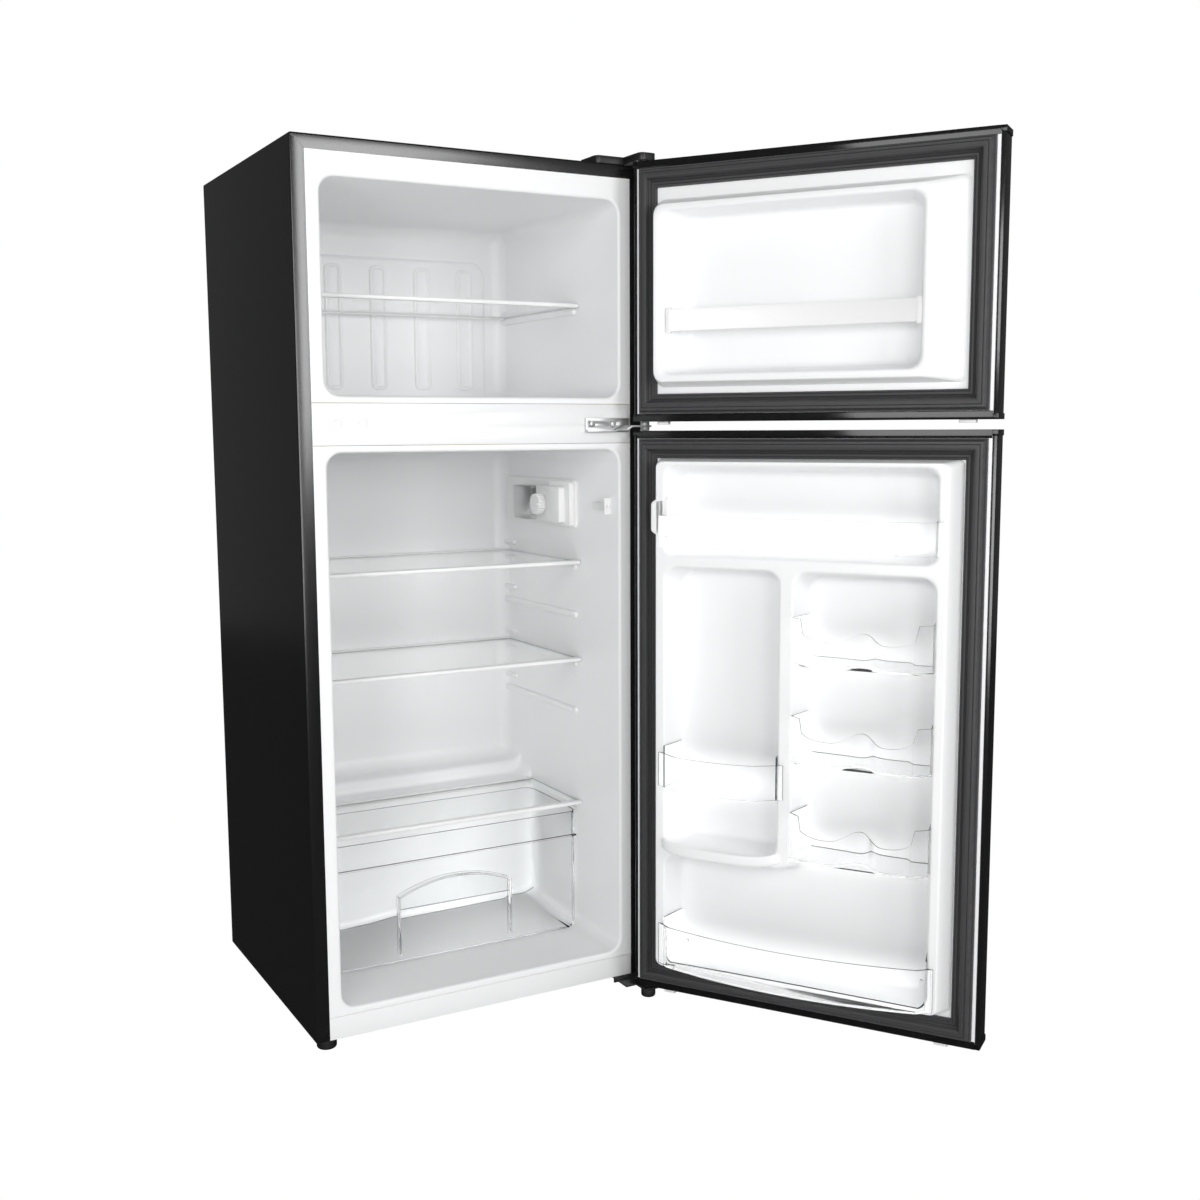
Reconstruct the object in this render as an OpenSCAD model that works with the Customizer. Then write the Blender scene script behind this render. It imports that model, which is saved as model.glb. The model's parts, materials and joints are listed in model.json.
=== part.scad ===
// Two-door refrigerator with the freezer on top, stored with both doors open.
// Millimetres, +Z up, front towards -Y, on the floor at Z = 0.

/* [Cabinet] */
// Width of the cabinet over its side panels
cab_w = 596; // [540:1:680]
// Depth of the cabinet from the face of the front flange to the back panel
cab_d = 510; // [480:1:600]
// Height of the side panels
cab_h = 1390; // [1340:1:1500]
// Height of the feet under the side panels
foot_h = 24; // [22:1:32]
// Thickness of the painted steel sheet
sheet_t = 1; // [0.8:0.1:1.5]
// Width of the black flange around the front
flange_w = 22; // [16:1:26]

/* [Compartments] */
// Insulated thickness of each side wall
side_wall = 44; // [38:1:54]
// Insulated thickness of the top
top_wall = 58; // [50:1:70]
// Insulated thickness of the back
back_wall = 58; // [50:1:70]
// Height of the freezer door
freezer_door_h = 419; // [415:1:424]
// How far the freezer door reaches below the freezer's floor
door_cover = 40; // [36:1:44]
// Inside height of the freezer compartment: what its door covers
freezer_h = freezer_door_h + sheet_t - top_wall - door_cover;
// Height between the two compartments
mullion_h = 86; // [80:1:100]
// Height of the fresh-food compartment's floor above the cabinet bottom
floor_h = 47; // [40:1:60]
// Inside height of the fresh-food compartment: what the others leave
fridge_h = cab_h - top_wall - freezer_h - mullion_h - floor_h;
// Thickness of the white plastic liners
liner_t = 2; // [1.5:0.1:2.5]
// Corner radius of both compartments
liner_r = 24; // [10:1:30]
// Height of the painted rail across the mullion
rail_h = 64; // [58:1:70]
// Height of the painted rail below the lower compartment
sill_h = 36; // [30:1:40]

/* [Machine compartment] */
// Height of the step over the compressor, above the cabinet bottom
hump_h = 285; // [280:1:300]
// Depth of the machine compartment with its step
machine_d = 165; // [160:1:172]
// Distance of the step from the front flange
hump_y = cab_d - machine_d;
// Height by which the back half of the step is higher
hump_rise = 25; // [15:1:30]
// Distance from the step's front to its higher part
hump_run = 45; // [30:1:60]
// Insulation between the step and the compressor
hump_wall = 34; // [28:1:36]
// Radius of the compressor's shell
comp_r = 68; // [60:1:70]
// Height of the compressor's shell
comp_h = 150; // [130:1:165]

/* [Doors] */
// Thickness of the doors without their liners' ridges
door_t = 50; // [44:1:56]
// Distance from the cabinet's face to the doors' inner face
seal_gap = 16; // [14:0.5:18]
// Gap between the two doors
door_gap = 15; // [14:1:18]
// How far the lower door reaches below the side panels
door_drop = 4; // [2:0.5:5]
// Opening angle of both doors in the stored pose
open_angle = 123.5; // [90:0.5:130]
// Distance of the hinge axis from the side of the cabinet
hinge_inset = 13; // [12:0.5:15]
// Depth of the hinge axis behind the doors' inner face
hinge_depth = 18; // [16:0.5:22]
// Height of the black end caps
cap_h = 9; // [8:0.5:12]
// How far the end caps stand out over the steel skin
cap_lip = 1.5; // [1:0.5:2.5]
// Corner radius at the front edges of the doors
door_r = 7; // [5:0.5:9]
// Width of the steel skin's return on the inner face
return_w = 8; // [6:0.5:10]
// Distance of the gasket from the door's edge
gasket_in = 13; // [11:0.5:15]
// Width of the gasket
gasket_w = 32; // [28:1:34]
// Length of the grip recess in the end caps
grip_w = 210; // [150:5:260]
// Depth of the grip recess
grip_h = 24; // [18:1:30]

/* [Freezer door liner] */
// Height of the ridge around the freezer door's pocket
fz_ridge = 34; // [28:1:40]
// Distance of the pocket from the door's handle side
fz_pocket_x = 105; // [90:1:120]
// Width of the pocket
fz_pocket_w = 427; // [400:1:430]
// Height of the pocket's tray over the door's bottom
fz_tray_z = 73; // [70:1:90]
// Height of the pocket
fz_pocket_h = 264; // [240:1:266]
// Depth of all door pockets below the doors' inner face
pocket_depth = 16; // [10:1:20]

/* [Fridge door liner] */
// Height of the ridge around the lower door's pockets
fr_ridge = 38; // [34:1:42]
// Distance of the ridge's inner wall from the door's side edge at the handle
fr_side_h = 75; // [72:1:86]
// Distance of the ridge's inner wall from the door's side edge at the hinge
fr_side_x = 74; // [70:1:80]
// Distance of the dairy ledge's underside from the door's top
ledge_drop = 219; // [205:1:225]
// Thickness of the dairy ledge
ledge_t = 16; // [12:1:20]
// Width of the tall bottle recess
bottle_w = 200; // [190:1:205]
// Width of the rib beside it
divider_w = 22; // [16:1:24]
// Height of the bottle tray above the door's bottom
tray_z = 270; // [260:1:280]
// Thickness of the bottle tray
tray_t = 12; // [9:1:16]

/* [Shelves and drawer] */
// Distance of the shelves' front edges from the flange
shelf_y = 134; // [130:1:142]
// Gap between the shelves' rear edges and the back wall
shelf_rear = 18; // [12:1:40]
// Depth of the shelves
shelf_d = cab_d - back_wall - shelf_y - shelf_rear;
// Thickness of the glass
glass_t = 4; // [3.2:0.1:5]
// Height of the shelves' front trims
trim_h = 7; // [6:0.5:14]
// Gap from each shelf's edge to the wall
shelf_side = 2; // [1.5:0.5:3]
// Distance of the upper shelf from the compartment's ceiling
upper_drop = 204; // [190:1:230]
// Vertical step between two shelf levels
level_step = 88; // [80:1:95]
// Height of the crisper cover above the cabinet bottom
cover_z = 280; // [276:1:284]
// Height of the freezer shelf above the freezer floor
freezer_shelf_z = 160; // [130:1:190]
// How far the shelf ribs stand out
rib_out = 6; // [5:0.5:7]
// Wall of the clear drawer and bins
clear_t = 2.4; // [2:0.1:3]

/* [Hidden] */
$fn = 48;

// Running clearance of a pin in its bore, and the gap left between pieces that slide
pin_clear = 0.05;
slide_gap = 0.3;
// A little more than a cut's own depth, so that it goes right through
eps = 1;

// Heights above the floor
base_z = foot_h;
top_z = base_z + cab_h;
freezer_top = top_z - top_wall;
freezer_floor = freezer_top - freezer_h;
fridge_top = freezer_floor - mullion_h;
fridge_floor = fridge_top - fridge_h;
upper_z = fridge_top - upper_drop;
rail_z = fridge_top + (mullion_h - rail_h) / 2;
sill_z = base_z + sill_h;

// Inside of both compartments
room_w = cab_w - 2 * side_wall;
room_d = cab_d - back_wall;
room_x1 = side_wall + room_w;

// Doors, drawn shut
freezer_door_z = top_z - sheet_t - freezer_door_h;
fridge_door_top = freezer_door_z - door_gap;
fridge_door_z = base_z - door_drop;
fridge_door_h = fridge_door_top - fridge_door_z;
ledge_z = fridge_door_h - ledge_drop;
hinge_x = cab_w - hinge_inset;
hinge_y = -seal_gap - hinge_depth;
pin_r = 4;

// Box of the stored pose, whose bottom centre is the origin
function swung(x, y) = let (dx = x - hinge_x, dy = y - hinge_y)
    [hinge_x + dx * cos(open_angle) - dy * sin(open_angle),
     hinge_y + dx * sin(open_angle) + dy * cos(open_angle)];
condenser_y = cab_d + 34;
condenser_r = 2.5;
wire_r = 0.9;
edge_in = swung(0, -seal_gap);
arc_centre = swung(door_r, -seal_gap - door_t + door_r);
max_x = arc_centre[0] + door_r;
min_y = min(edge_in[1], arc_centre[1] - door_r);
max_y = condenser_y + condenser_r + 2 * wire_r;
origin_x = max_x / 2;
origin_y = (min_y + max_y) / 2;

module place() {
    translate([-origin_x, -origin_y, 0]) children();
}

module swing() {
    translate([hinge_x, hinge_y, 0]) rotate([0, 0, open_angle]) translate([-hinge_x, -hinge_y, 0]) children();
}

// Frame of a shut door: X from the handle side, Y = 0 on its inner face, Z from its bottom
module on_door(z) {
    place() swing() translate([0, -seal_gap, z]) children();
}

// Rounded rectangle from the origin
module rrect(w, h, r) {
    translate([r, 0]) square([w - 2 * r, h]);
    translate([0, r]) square([w, h - 2 * r]);
    for (x = [r, w - r], y = [r, h - r]) translate([x, y]) circle(r);
}

// Block with its X-Z outline rounded
module slab(w, d, h, r) {
    translate([0, d, 0]) rotate([90, 0, 0]) linear_extrude(d) rrect(w, h, r);
}

// Block with its X-Y outline rounded
module tile(w, d, h, r) {
    linear_extrude(h) rrect(w, d, r);
}

// ---------------------------------------------------------------- cabinet

module cabinet_shell() {
    color("#151516") place() difference() {
        translate([0, 0, base_z]) cube([cab_w, cab_d, cab_h]);
        translate([sheet_t, sheet_t, base_z - eps]) cube([cab_w - 2 * sheet_t, cab_d, cab_h - sheet_t + eps]);
        translate([flange_w, -eps, base_z - eps])
            cube([cab_w - 2 * flange_w, sheet_t + 2 * eps, cab_h - flange_w + eps]);
        hinge_screw_places() cylinder(r = screw_r + pin_clear, h = 8 * sheet_t, center = true);
    }
}

machine_y = hump_y + hump_wall;
machine_h = hump_h - hump_wall;

module back_panel() {
    z0 = base_z + machine_h;
    color("#1b1b1c") place() translate([sheet_t, cab_d - sheet_t, z0])
        cube([cab_w - 2 * sheet_t, sheet_t, top_z - sheet_t - z0]);
}

// Bottom plate, step over the compressor and the rail that carries it
comp_rail_y = machine_y + 6;
comp_rail_d = cab_d - comp_rail_y;
comp_rail_t = 2.5;
comp_rail_h = 12;
comp_x = cab_w * 0.36;
comp_y = machine_y + 6 + comp_r;
comp_foot_x = 65;
comp_foot_y = 42;
grommet_h = 14;

module base_pan() {
    w = cab_w - 2 * sheet_t;
    color("#2a2a2c") place() {
        difference() {
            union() {
                translate([sheet_t, sheet_t, base_z]) cube([w, machine_y - sheet_t, sheet_t]);
                translate([sheet_t, machine_y - sheet_t, base_z]) cube([w, sheet_t, machine_h]);
                translate([sheet_t, machine_y - sheet_t, base_z + machine_h - sheet_t])
                    cube([w, cab_d - machine_y + sheet_t, sheet_t]);
            }
            translate([left_foot_x, left_foot_y, base_z]) cylinder(r = foot_stud_r + pin_clear, h = 8, center = true);
        }
        translate([sheet_t, comp_rail_y, base_z]) {
            cube([w, comp_rail_d, comp_rail_t]);
            cube([w, comp_rail_t, comp_rail_h]);
            translate([0, comp_rail_d - comp_rail_t, 0]) cube([w, comp_rail_t, comp_rail_h]);
        }
    }
}

// Outside of a liner's box, grown by e
module liner_box(z, h, e) {
    translate([side_wall - e, -eps, z - e]) slab(room_w + 2 * e, room_d + eps + e, h + 2 * e, liner_r + e);
}

// Step in the lower compartment, grown by e towards the food
module hump_block(e) {
    translate([side_wall - 2 * eps, hump_y - e, fridge_floor - 2 * liner_t])
        cube([room_w + 4 * eps, room_d - hump_y + e + 2 * liner_t, hump_h - fridge_floor + base_z + 2 * liner_t + e]);
    translate([side_wall - 2 * eps, hump_y + hump_run - e, fridge_floor - 2 * liner_t])
        cube([room_w + 4 * eps, room_d - hump_y - hump_run + e + 2 * liner_t,
              hump_h + hump_rise - fridge_floor + base_z + 2 * liner_t + e]);
}

// The room of the lower compartment, shrunk by the step, grown by e
module fridge_room(e) {
    difference() {
        liner_box(fridge_floor, fridge_h, e);
        hump_block(-e);
    }
}

module cabinet_foam() {
    z0 = base_z + sheet_t + pin_clear;
    color("#d8cfa8") place() difference() {
        translate([sheet_t, liner_t, z0])
            cube([cab_w - 2 * sheet_t, cab_d - sheet_t - liner_t, cab_h - 2 * sheet_t - pin_clear]);
        liner_box(freezer_floor, freezer_h, liner_t);
        fridge_room(liner_t);
        translate([0, machine_y - sheet_t - pin_clear, base_z - eps])
            cube([cab_w, cab_d, machine_h + pin_clear + eps]);
        translate([evap_x, room_d + liner_t - eps, evap_z]) cube([evap_w, evap_t + eps, evap_h]);
        hinge_screw_places() cylinder(r = screw_r + pin_clear, h = 2 * screw_len, center = true);
        mullion_screw_places() rotate([90, 0, 0]) cylinder(r = screw_r + pin_clear, h = 2 * screw_len, center = true);
        translate([left_foot_x, left_foot_y, base_z]) cylinder(r = foot_stud_r + slide_gap, h = 2 * foot_stud_h, center = true);
        mullion_plug_places() rotate([90, 0, 0]) cylinder(r = plug_r - 1 + pin_clear, h = 20, center = true);
    }
}

// Flange of a liner around its opening, from z0 to z1
module liner_flange(z0, z1) {
    translate([flange_w, 0, z0]) cube([cab_w - 2 * flange_w, liner_t, z1 - z0]);
}

// Rounded rib on both side walls: y from y0 to y1, its top at z
module wall_ribs(y0, y1, z, out, h) {
    for (x = [side_wall - liner_t / 2, room_x1 - out])
        translate([x, y0 + h / 2, z - h]) {
            cube([out + liner_t / 2, y1 - y0 - h / 2, h]);
            translate([0, 0, h / 2]) rotate([0, 90, 0]) cylinder(r = h / 2, h = out + liner_t / 2);
        }
}

rib_h = 12;
rib_gap = 0.3;
trim_d = 14;
front_rib_y = shelf_y + trim_d + 2;
short_rib_l = 52;
rib_short_h = 9;
emboss_t = 4;

module freezer_liner() {
    color("#f2f3f3") place() {
        difference() {
            union() {
                liner_flange(rail_z + rail_h, top_z - flange_w);
                intersection() {
                    liner_box(freezer_floor, freezer_h, liner_t);
                    translate([0, 0, base_z]) cube([cab_w, cab_d, cab_h]);
                }
            }
            liner_box(freezer_floor, freezer_h, 0);
        }
        wall_ribs(front_rib_y, room_d + liner_t / 2, freezer_floor + freezer_shelf_z - rib_gap, rib_out, rib_h);
        freezer_back_emboss();
    }
}

// Raised panel on the freezer's back wall with its upright U-shaped beads
emboss_w = 432;
emboss_h = 272;
bead_w = 34;
bead_h = 228;
module freezer_back_emboss() {
    x0 = side_wall + (room_w - emboss_w) / 2;
    translate([x0, room_d - emboss_t, freezer_floor - liner_t / 2])
        slab(emboss_w, emboss_t + liner_t / 2, emboss_h, liner_r);
    for (i = [0:4])
        translate([x0 + emboss_w * (i + 0.5) / 5 - bead_w / 2, room_d - emboss_t - 2, freezer_floor + 20])
            slab(bead_w, 4, bead_h, 8);
}

module fridge_liner() {
    color("#f4f5f5") place() {
        difference() {
            union() {
                liner_flange(sill_z, rail_z);
                intersection() {
                    fridge_room(liner_t);
                    translate([0, 0, base_z]) cube([cab_w, cab_d, cab_h]);
                }
            }
            fridge_room(0);
        }
        for (i = [0:3]) {
            z = upper_z - i * level_step;
            wall_ribs(front_rib_y, room_d + liner_t / 2, z - rib_gap, rib_out, rib_h);
            wall_ribs(room_d - short_rib_l, room_d + liner_t / 2, z + 2 * rib_h, rib_out, rib_short_h);
        }
        wall_ribs(front_rib_y, hump_y + liner_t / 2, base_z + cover_z - rib_gap, rib_out - 1, rib_h - 2);
    }
}

module mullion_rail() {
    color("#ededed") place() difference() {
        translate([flange_w, 0, rail_z]) cube([cab_w - 2 * flange_w, liner_t, rail_h]);
        mullion_screw_places() rotate([90, 0, 0]) cylinder(r = screw_r + pin_clear, h = 4 * liner_t, center = true);
        mullion_plug_places() rotate([90, 0, 0]) cylinder(r = plug_r - 1 + pin_clear, h = 4 * liner_t, center = true);
    }
}

// White plugs in the unused hinge holes at the other end of the mullion
plug_r = 6.5;
plug_x = 62;
plug_pitch = 41;
module mullion_plug_places() {
    for (i = [0:1]) translate([plug_x + i * plug_pitch, 0, rail_z + rail_h / 2]) children();
}

module mullion_plugs() {
    color("#f7f7f7") place() mullion_plug_places() rotate([90, 0, 0]) {
        cylinder(r = plug_r, h = 1.6);
        translate([0, 0, -8]) cylinder(r = plug_r - 1, h = 8.5);
    }
}

module sill_rail() {
    color("#e9e9e9") place() {
        translate([flange_w, 0, base_z]) cube([cab_w - 2 * flange_w, sheet_t, sill_h]);
        translate([flange_w, 0, sill_z - sheet_t]) cube([cab_w - 2 * flange_w, liner_t, sheet_t]);
    }
}

// Roll-bonded plate behind the freezer's back wall
evap_w = 430;
evap_h = 250;
evap_t = 4;
evap_x = side_wall + (room_w - evap_w) / 2;
evap_z = freezer_floor + 30;
module freezer_evaporator() {
    color("#b9bec2") place() {
        translate([evap_x, room_d + liner_t, evap_z]) cube([evap_w, 1.4, evap_h]);
        for (i = [0:5])
            translate([evap_x + 20, room_d + liner_t + 1, evap_z + 22 + i * 40]) cube([evap_w - 40, 2.6, 7]);
    }
}

// ---------------------------------------------------------------- cold machine

comp_z = base_z + comp_rail_t + grommet_h + 3;

module comp_feet_places() {
    for (x = [-comp_foot_x, comp_foot_x], y = [-comp_foot_y, comp_foot_y])
        translate([comp_x + x, comp_y + y, base_z + comp_rail_t]) children();
}

module compressor() {
    r = comp_r;
    c = 26;
    color("#101011") place() {
        translate([comp_x, comp_y, comp_z]) rotate_extrude($fn = 96) {
            difference() {
                union() {
                    square([r, comp_h / 2]);
                    translate([0, comp_h / 2]) square([r - 3, comp_h / 2 - c]);
                    translate([0, comp_h / 2]) square([r - 3 - c, comp_h / 2]);
                    translate([r - 3 - c, comp_h - c]) circle(c);
                }
                translate([-2 * r, -eps]) square([2 * r, comp_h + 2 * c]);
            }
        }
        difference() {
            translate([comp_x - comp_foot_x - 14, comp_y - comp_foot_y - 12, comp_z - 3])
                tile(2 * comp_foot_x + 28, 2 * comp_foot_y + 24, 3, 10);
            comp_feet_places() cylinder(r = 4.2, h = 60);
        }
        // Stubs for the discharge and suction lines
        translate([discharge_x, comp_y, discharge_z]) rotate([-90, 0, 0])
            cylinder(r = condenser_r, h = condenser_y - comp_y - condenser_r);
        translate([suction_x, comp_y, comp_z + stub_z]) rotate([-90, 0, 0])
            cylinder(r = tube_r, h = suction_y - comp_y - tube_r);
    }
}

module compressor_grommets() {
    color("#1d1d1e") place() comp_feet_places() {
        cylinder(r = 11, h = grommet_h);
        cylinder(r = 4, h = grommet_h + 5);
        translate([0, 0, grommet_h + 3]) cylinder(r = 8, h = 3);
    }
}

// Cover of the starting relay, fitted to the shell, with the gland for the supply cord
relay_l = 60;
relay_h = 50;
module terminal_box() {
    color("#222224") place() difference() {
        translate([comp_x + comp_r - 10, comp_y - relay_l / 2, comp_z + 20]) {
            cube([40, relay_l, relay_h]);
            translate([40, 12, 8]) cube([10, relay_l - 24, relay_h - 16]);
            translate([50, relay_l / 2, relay_h / 2]) rotate([0, 90, 0]) cylinder(r = 7, h = 8);
        }
        translate([comp_x, comp_y, comp_z]) cylinder(r = comp_r, h = comp_h);
        translate([comp_x + comp_r + 30, comp_y, comp_z + 20 + relay_h / 2]) rotate([0, 90, 0])
            cylinder(r = 3.6, h = 20);
    }
}

// Wire-on-tube condenser: a serpentine in front of upright wires
pass_n = 15;
cond_in = 60;
cond_drop = 155;
cond_x0 = cond_in;
cond_x1 = cab_w - cond_in;
cond_z0 = base_z + machine_h + cond_in;
pass_pitch = (top_z - cond_drop - cond_z0) / (pass_n - 1);
wire_n = 32;
drier_in = 40;
drier_x = cab_w - drier_in;
drier_up = 110;
drier_z = base_z + drier_up;
drier_h = 90;
drier_r = 10;
discharge_in = 30;
discharge_up = 60;
discharge_x = comp_x - discharge_in;
discharge_z = comp_z + discharge_up;
suction_in = 34;
suction_out = 12;
suction_up = 24;
suction_x = comp_x + suction_in;
suction_y = cab_d + suction_out;
stub_z = 44;
tube_r = 3;

module tube_x(x0, x1, z) {
    translate([x0, condenser_y, z]) rotate([0, 90, 0]) cylinder(r = condenser_r, h = x1 - x0);
}

module tube_bend(x, z, side) {
    translate([x, condenser_y, z]) rotate([90, 0, 0]) rotate([0, 0, side > 0 ? -90 : 90])
        rotate_extrude(angle = 180) translate([pass_pitch / 2, 0]) circle(condenser_r);
}

// Tubes that leave the serpentine go down to the compressor and to the drier
module condenser() {
    x0 = cond_x0 + pass_pitch / 2;
    x1 = cond_x1 - pass_pitch / 2;
    last = pass_n - 1;
    z_last = cond_z0 + last * pass_pitch;
    color("#18181a") place() {
        for (i = [0:last])
            tube_x(i == 0 ? discharge_x : x0, i == last ? drier_x : x1, cond_z0 + i * pass_pitch);
        for (i = [0:last - 1])
            tube_bend(i % 2 == 0 ? x1 : x0, cond_z0 + (i + 0.5) * pass_pitch, i % 2 == 0 ? 1 : -1);
        for (t = [[discharge_x, cond_z0, discharge_z], [drier_x, z_last, drier_z + drier_h]]) {
            translate([t[0], condenser_y, t[1]]) sphere(condenser_r);
            translate([t[0], condenser_y, t[2]]) cylinder(r = condenser_r, h = t[1] - t[2]);
        }
        for (i = [0:wire_n - 1])
            translate([x0 + 6 + (x1 - x0 - 12) * i / (wire_n - 1), condenser_y + condenser_r + wire_r - 0.15,
                       cond_z0 - 18]) cylinder(r = wire_r, h = z_last - cond_z0 + 36, $fn = 16);
    }
}

// Brackets on the back panel, each with two ears that reach the outermost wires
cond_bracket_w = 12;
cond_bracket_h = 18;
cond_bracket_t = 2;
module condenser_brackets() {
    w = cond_bracket_w;
    h = cond_bracket_h;
    t = cond_bracket_t;
    reach = condenser_y - cab_d + condenser_r;
    color("#1f1f21") place() for (x = [cond_x0 + pass_pitch / 2, cond_x1 - pass_pitch / 2], i = [1, pass_n - 4])
        translate([x - w / 2, cab_d, cond_z0 + (i + 0.5) * pass_pitch - h / 2]) {
            cube([w, reach, t]);
            translate([0, 0, h - t]) cube([w, reach, t]);
            cube([w, t, h]);
        }
}

// Copper: filter drier with its inlet and outlet cones, and the suction line into the back panel
module refrigerant_tubes() {
    suction_z = base_z + machine_h + suction_up;
    color("#b4693a") place() {
        translate([drier_x, condenser_y, drier_z]) rotate_extrude() polygon([[0, -20], [1.2, -20], [1.2, -10],
            [drier_r, 0], [drier_r, drier_h - 12], [condenser_r, drier_h], [0, drier_h]]);
        translate([suction_x, suction_y, comp_z + stub_z]) {
            sphere(tube_r);
            cylinder(r = tube_r, h = suction_z - comp_z - stub_z);
        }
        translate([suction_x, suction_y, suction_z]) {
            sphere(tube_r);
            rotate([90, 0, 0]) cylinder(r = tube_r, h = suction_y - cab_d);
        }
    }
}

drip_w = 124;
drip_d = 96;
drip_h = 26;
drip_t = 2;
module drip_tray() {
    t = drip_t;
    color("#1c1c1d") place() translate([comp_x - drip_w / 2, comp_y - drip_d / 2, comp_z + comp_h]) difference() {
        tile(drip_w, drip_d, drip_h, 12);
        translate([t, t, t]) tile(drip_w - 2 * t, drip_d - 2 * t, drip_h, 12 - t);
    }
}

// ---------------------------------------------------------------- feet

left_foot_x = 27;
left_foot_y = 34;
right_foot_x = hinge_x - 3;
right_foot_y = hinge_y - 15;
left_foot_r = 16;
right_foot_r = 12.5;
foot_stud_r = 4;
foot_stud_h = 22;

module foot(r, h, stud) {
    rotate_extrude() {
        translate([0, 0]) square([r - 4, h]);
        translate([0, 4]) square([r, h - 5]);
        intersection() {
            translate([r - 4, 4]) circle(4);
            square([r, 4]);
        }
        square([foot_stud_r, h + stud]);
    }
}

module front_foot_left() {
    color("#0e0e0f") place() translate([left_foot_x, left_foot_y, 0]) foot(left_foot_r, foot_h - slide_gap, foot_stud_h);
}

bracket_t = 3;
bracket_z = fridge_door_z - 3 - bracket_t;
pin_reach = 16;

module front_foot_right() {
    color("#0e0e0f") place() translate([right_foot_x, right_foot_y, 0])
        foot(right_foot_r, bracket_z - slide_gap, bracket_t + 1.2);
}

rear_foot_w = 36;
rear_foot_l = 60;
rear_foot_in = 26;
rear_foot_t = 12;
rear_foot_lip = 4;
module rear_feet() {
    e = rear_foot_lip;
    color("#0e0e0f") place() for (x = [rear_foot_in, cab_w - rear_foot_in - rear_foot_w])
        translate([x, comp_rail_y + rear_foot_l, 0]) {
            tile(rear_foot_w, rear_foot_l, rear_foot_t, 6);
            translate([e, e, rear_foot_t])
                cube([rear_foot_w - 2 * e, rear_foot_l - 2 * e, foot_h - rear_foot_t]);
        }
}

// ---------------------------------------------------------------- hinges

screw_r = 2.5;
screw_len = 14;
screw_head_r = 5;
screw_head_h = 2.6;
module hinge_screw_places() {
    for (p = [[hinge_x - 46, 16], [hinge_x - 20, 16], [hinge_x - 33, 34]])
        translate([p[0], p[1], top_z]) children();
}

mid_plate_in = 96;
mid_plate_x = hinge_x - mid_plate_in;
mid_plate_w = 83;
mid_plate_h = 23;
mid_plate_up = 18;
mid_plate_z = rail_z + mid_plate_up;
module mullion_screw_places() {
    for (x = [12, 52]) translate([mid_plate_x + x, 0, mid_plate_z + 13]) children();
}

module bottom_screw_places() {
    for (y = [16, 44]) translate([hinge_x - 26, y, base_z]) children();
}

nose_r = 8;
module top_hinge() {
    color("#b8b9bb") place() {
        difference() {
            union() {
                translate([hinge_x - 62, 4, top_z]) cube([62 + nose_r, 44, bracket_t]);
                translate([hinge_x - 16, hinge_y, top_z]) cube([16 + nose_r, 10 - hinge_y, bracket_t]);
                translate([hinge_x, hinge_y, top_z]) cylinder(r = nose_r, h = bracket_t);
            }
            hinge_screw_places() cylinder(r = screw_r + pin_clear, h = 20, center = true);
        }
        translate([hinge_x, hinge_y, top_z - pin_reach]) cylinder(r = pin_r, h = pin_reach + bracket_t);
    }
}

// Black cover over the top hinge: a broad base on the cabinet and a nose over the door
cover_h = 12;
cover_w = 82;
cover_l = 58;
cover_t = 2;
module hinge_cover() {
    x1 = hinge_x + nose_r + 1 + cover_t;
    nose_x = hinge_x - 20;
    nose_y = hinge_y - 20;
    nose_l = 34 - hinge_y;
    color("#141415") place() difference() {
        union() {
            translate([x1 - cover_w, 1, top_z]) tile(cover_w, cover_l, cover_h, 8);
            translate([nose_x, nose_y, top_z + slide_gap]) tile(x1 - nose_x, nose_l, cover_h - slide_gap, 9);
        }
        translate([x1 - cover_w + cover_t, 1 + cover_t, top_z - eps])
            tile(cover_w - 2 * cover_t, cover_l - 2 * cover_t, cover_h - cover_t + eps, 6);
        translate([nose_x + cover_t, nose_y + cover_t, top_z - eps])
            tile(x1 - nose_x - 2 * cover_t, nose_l, cover_h - cover_t + eps, 7);
    }
}

module middle_hinge() {
    arm_z = freezer_door_z - door_gap / 2 - bracket_t / 2;
    x0 = mid_plate_x;
    bend_x = x0 + 54;
    color("#c2c3c5") place() {
        difference() {
            translate([x0, -bracket_t, mid_plate_z]) cube([mid_plate_w, bracket_t, mid_plate_h]);
            mullion_screw_places() rotate([90, 0, 0]) cylinder(r = screw_r + pin_clear, h = 12, center = true);
        }
        intersection() {
            rotate([90, 0, 0]) linear_extrude(60) polygon([
                [x0, mid_plate_z], [bend_x, mid_plate_z], [bend_x + 14, arm_z],
                [hinge_x + 8, arm_z], [hinge_x + 8, arm_z + bracket_t], [bend_x + 13, arm_z + bracket_t],
                [bend_x - 1, mid_plate_z + bracket_t], [x0, mid_plate_z + bracket_t]]);
            linear_extrude(top_z) union() {
                translate([x0, -11]) square([mid_plate_w, 11]);
                translate([bend_x + 4, hinge_y - 8]) square([hinge_x + 8 - bend_x - 4, -hinge_y + 8]);
            }
        }
        translate([hinge_x, hinge_y, arm_z - pin_reach]) cylinder(r = pin_r, h = 2 * pin_reach + bracket_t);
        translate([hinge_x, hinge_y, fridge_door_top + slide_gap]) cylinder(r = 7.5, h = door_gap - 2 * slide_gap);
    }
}

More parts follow.
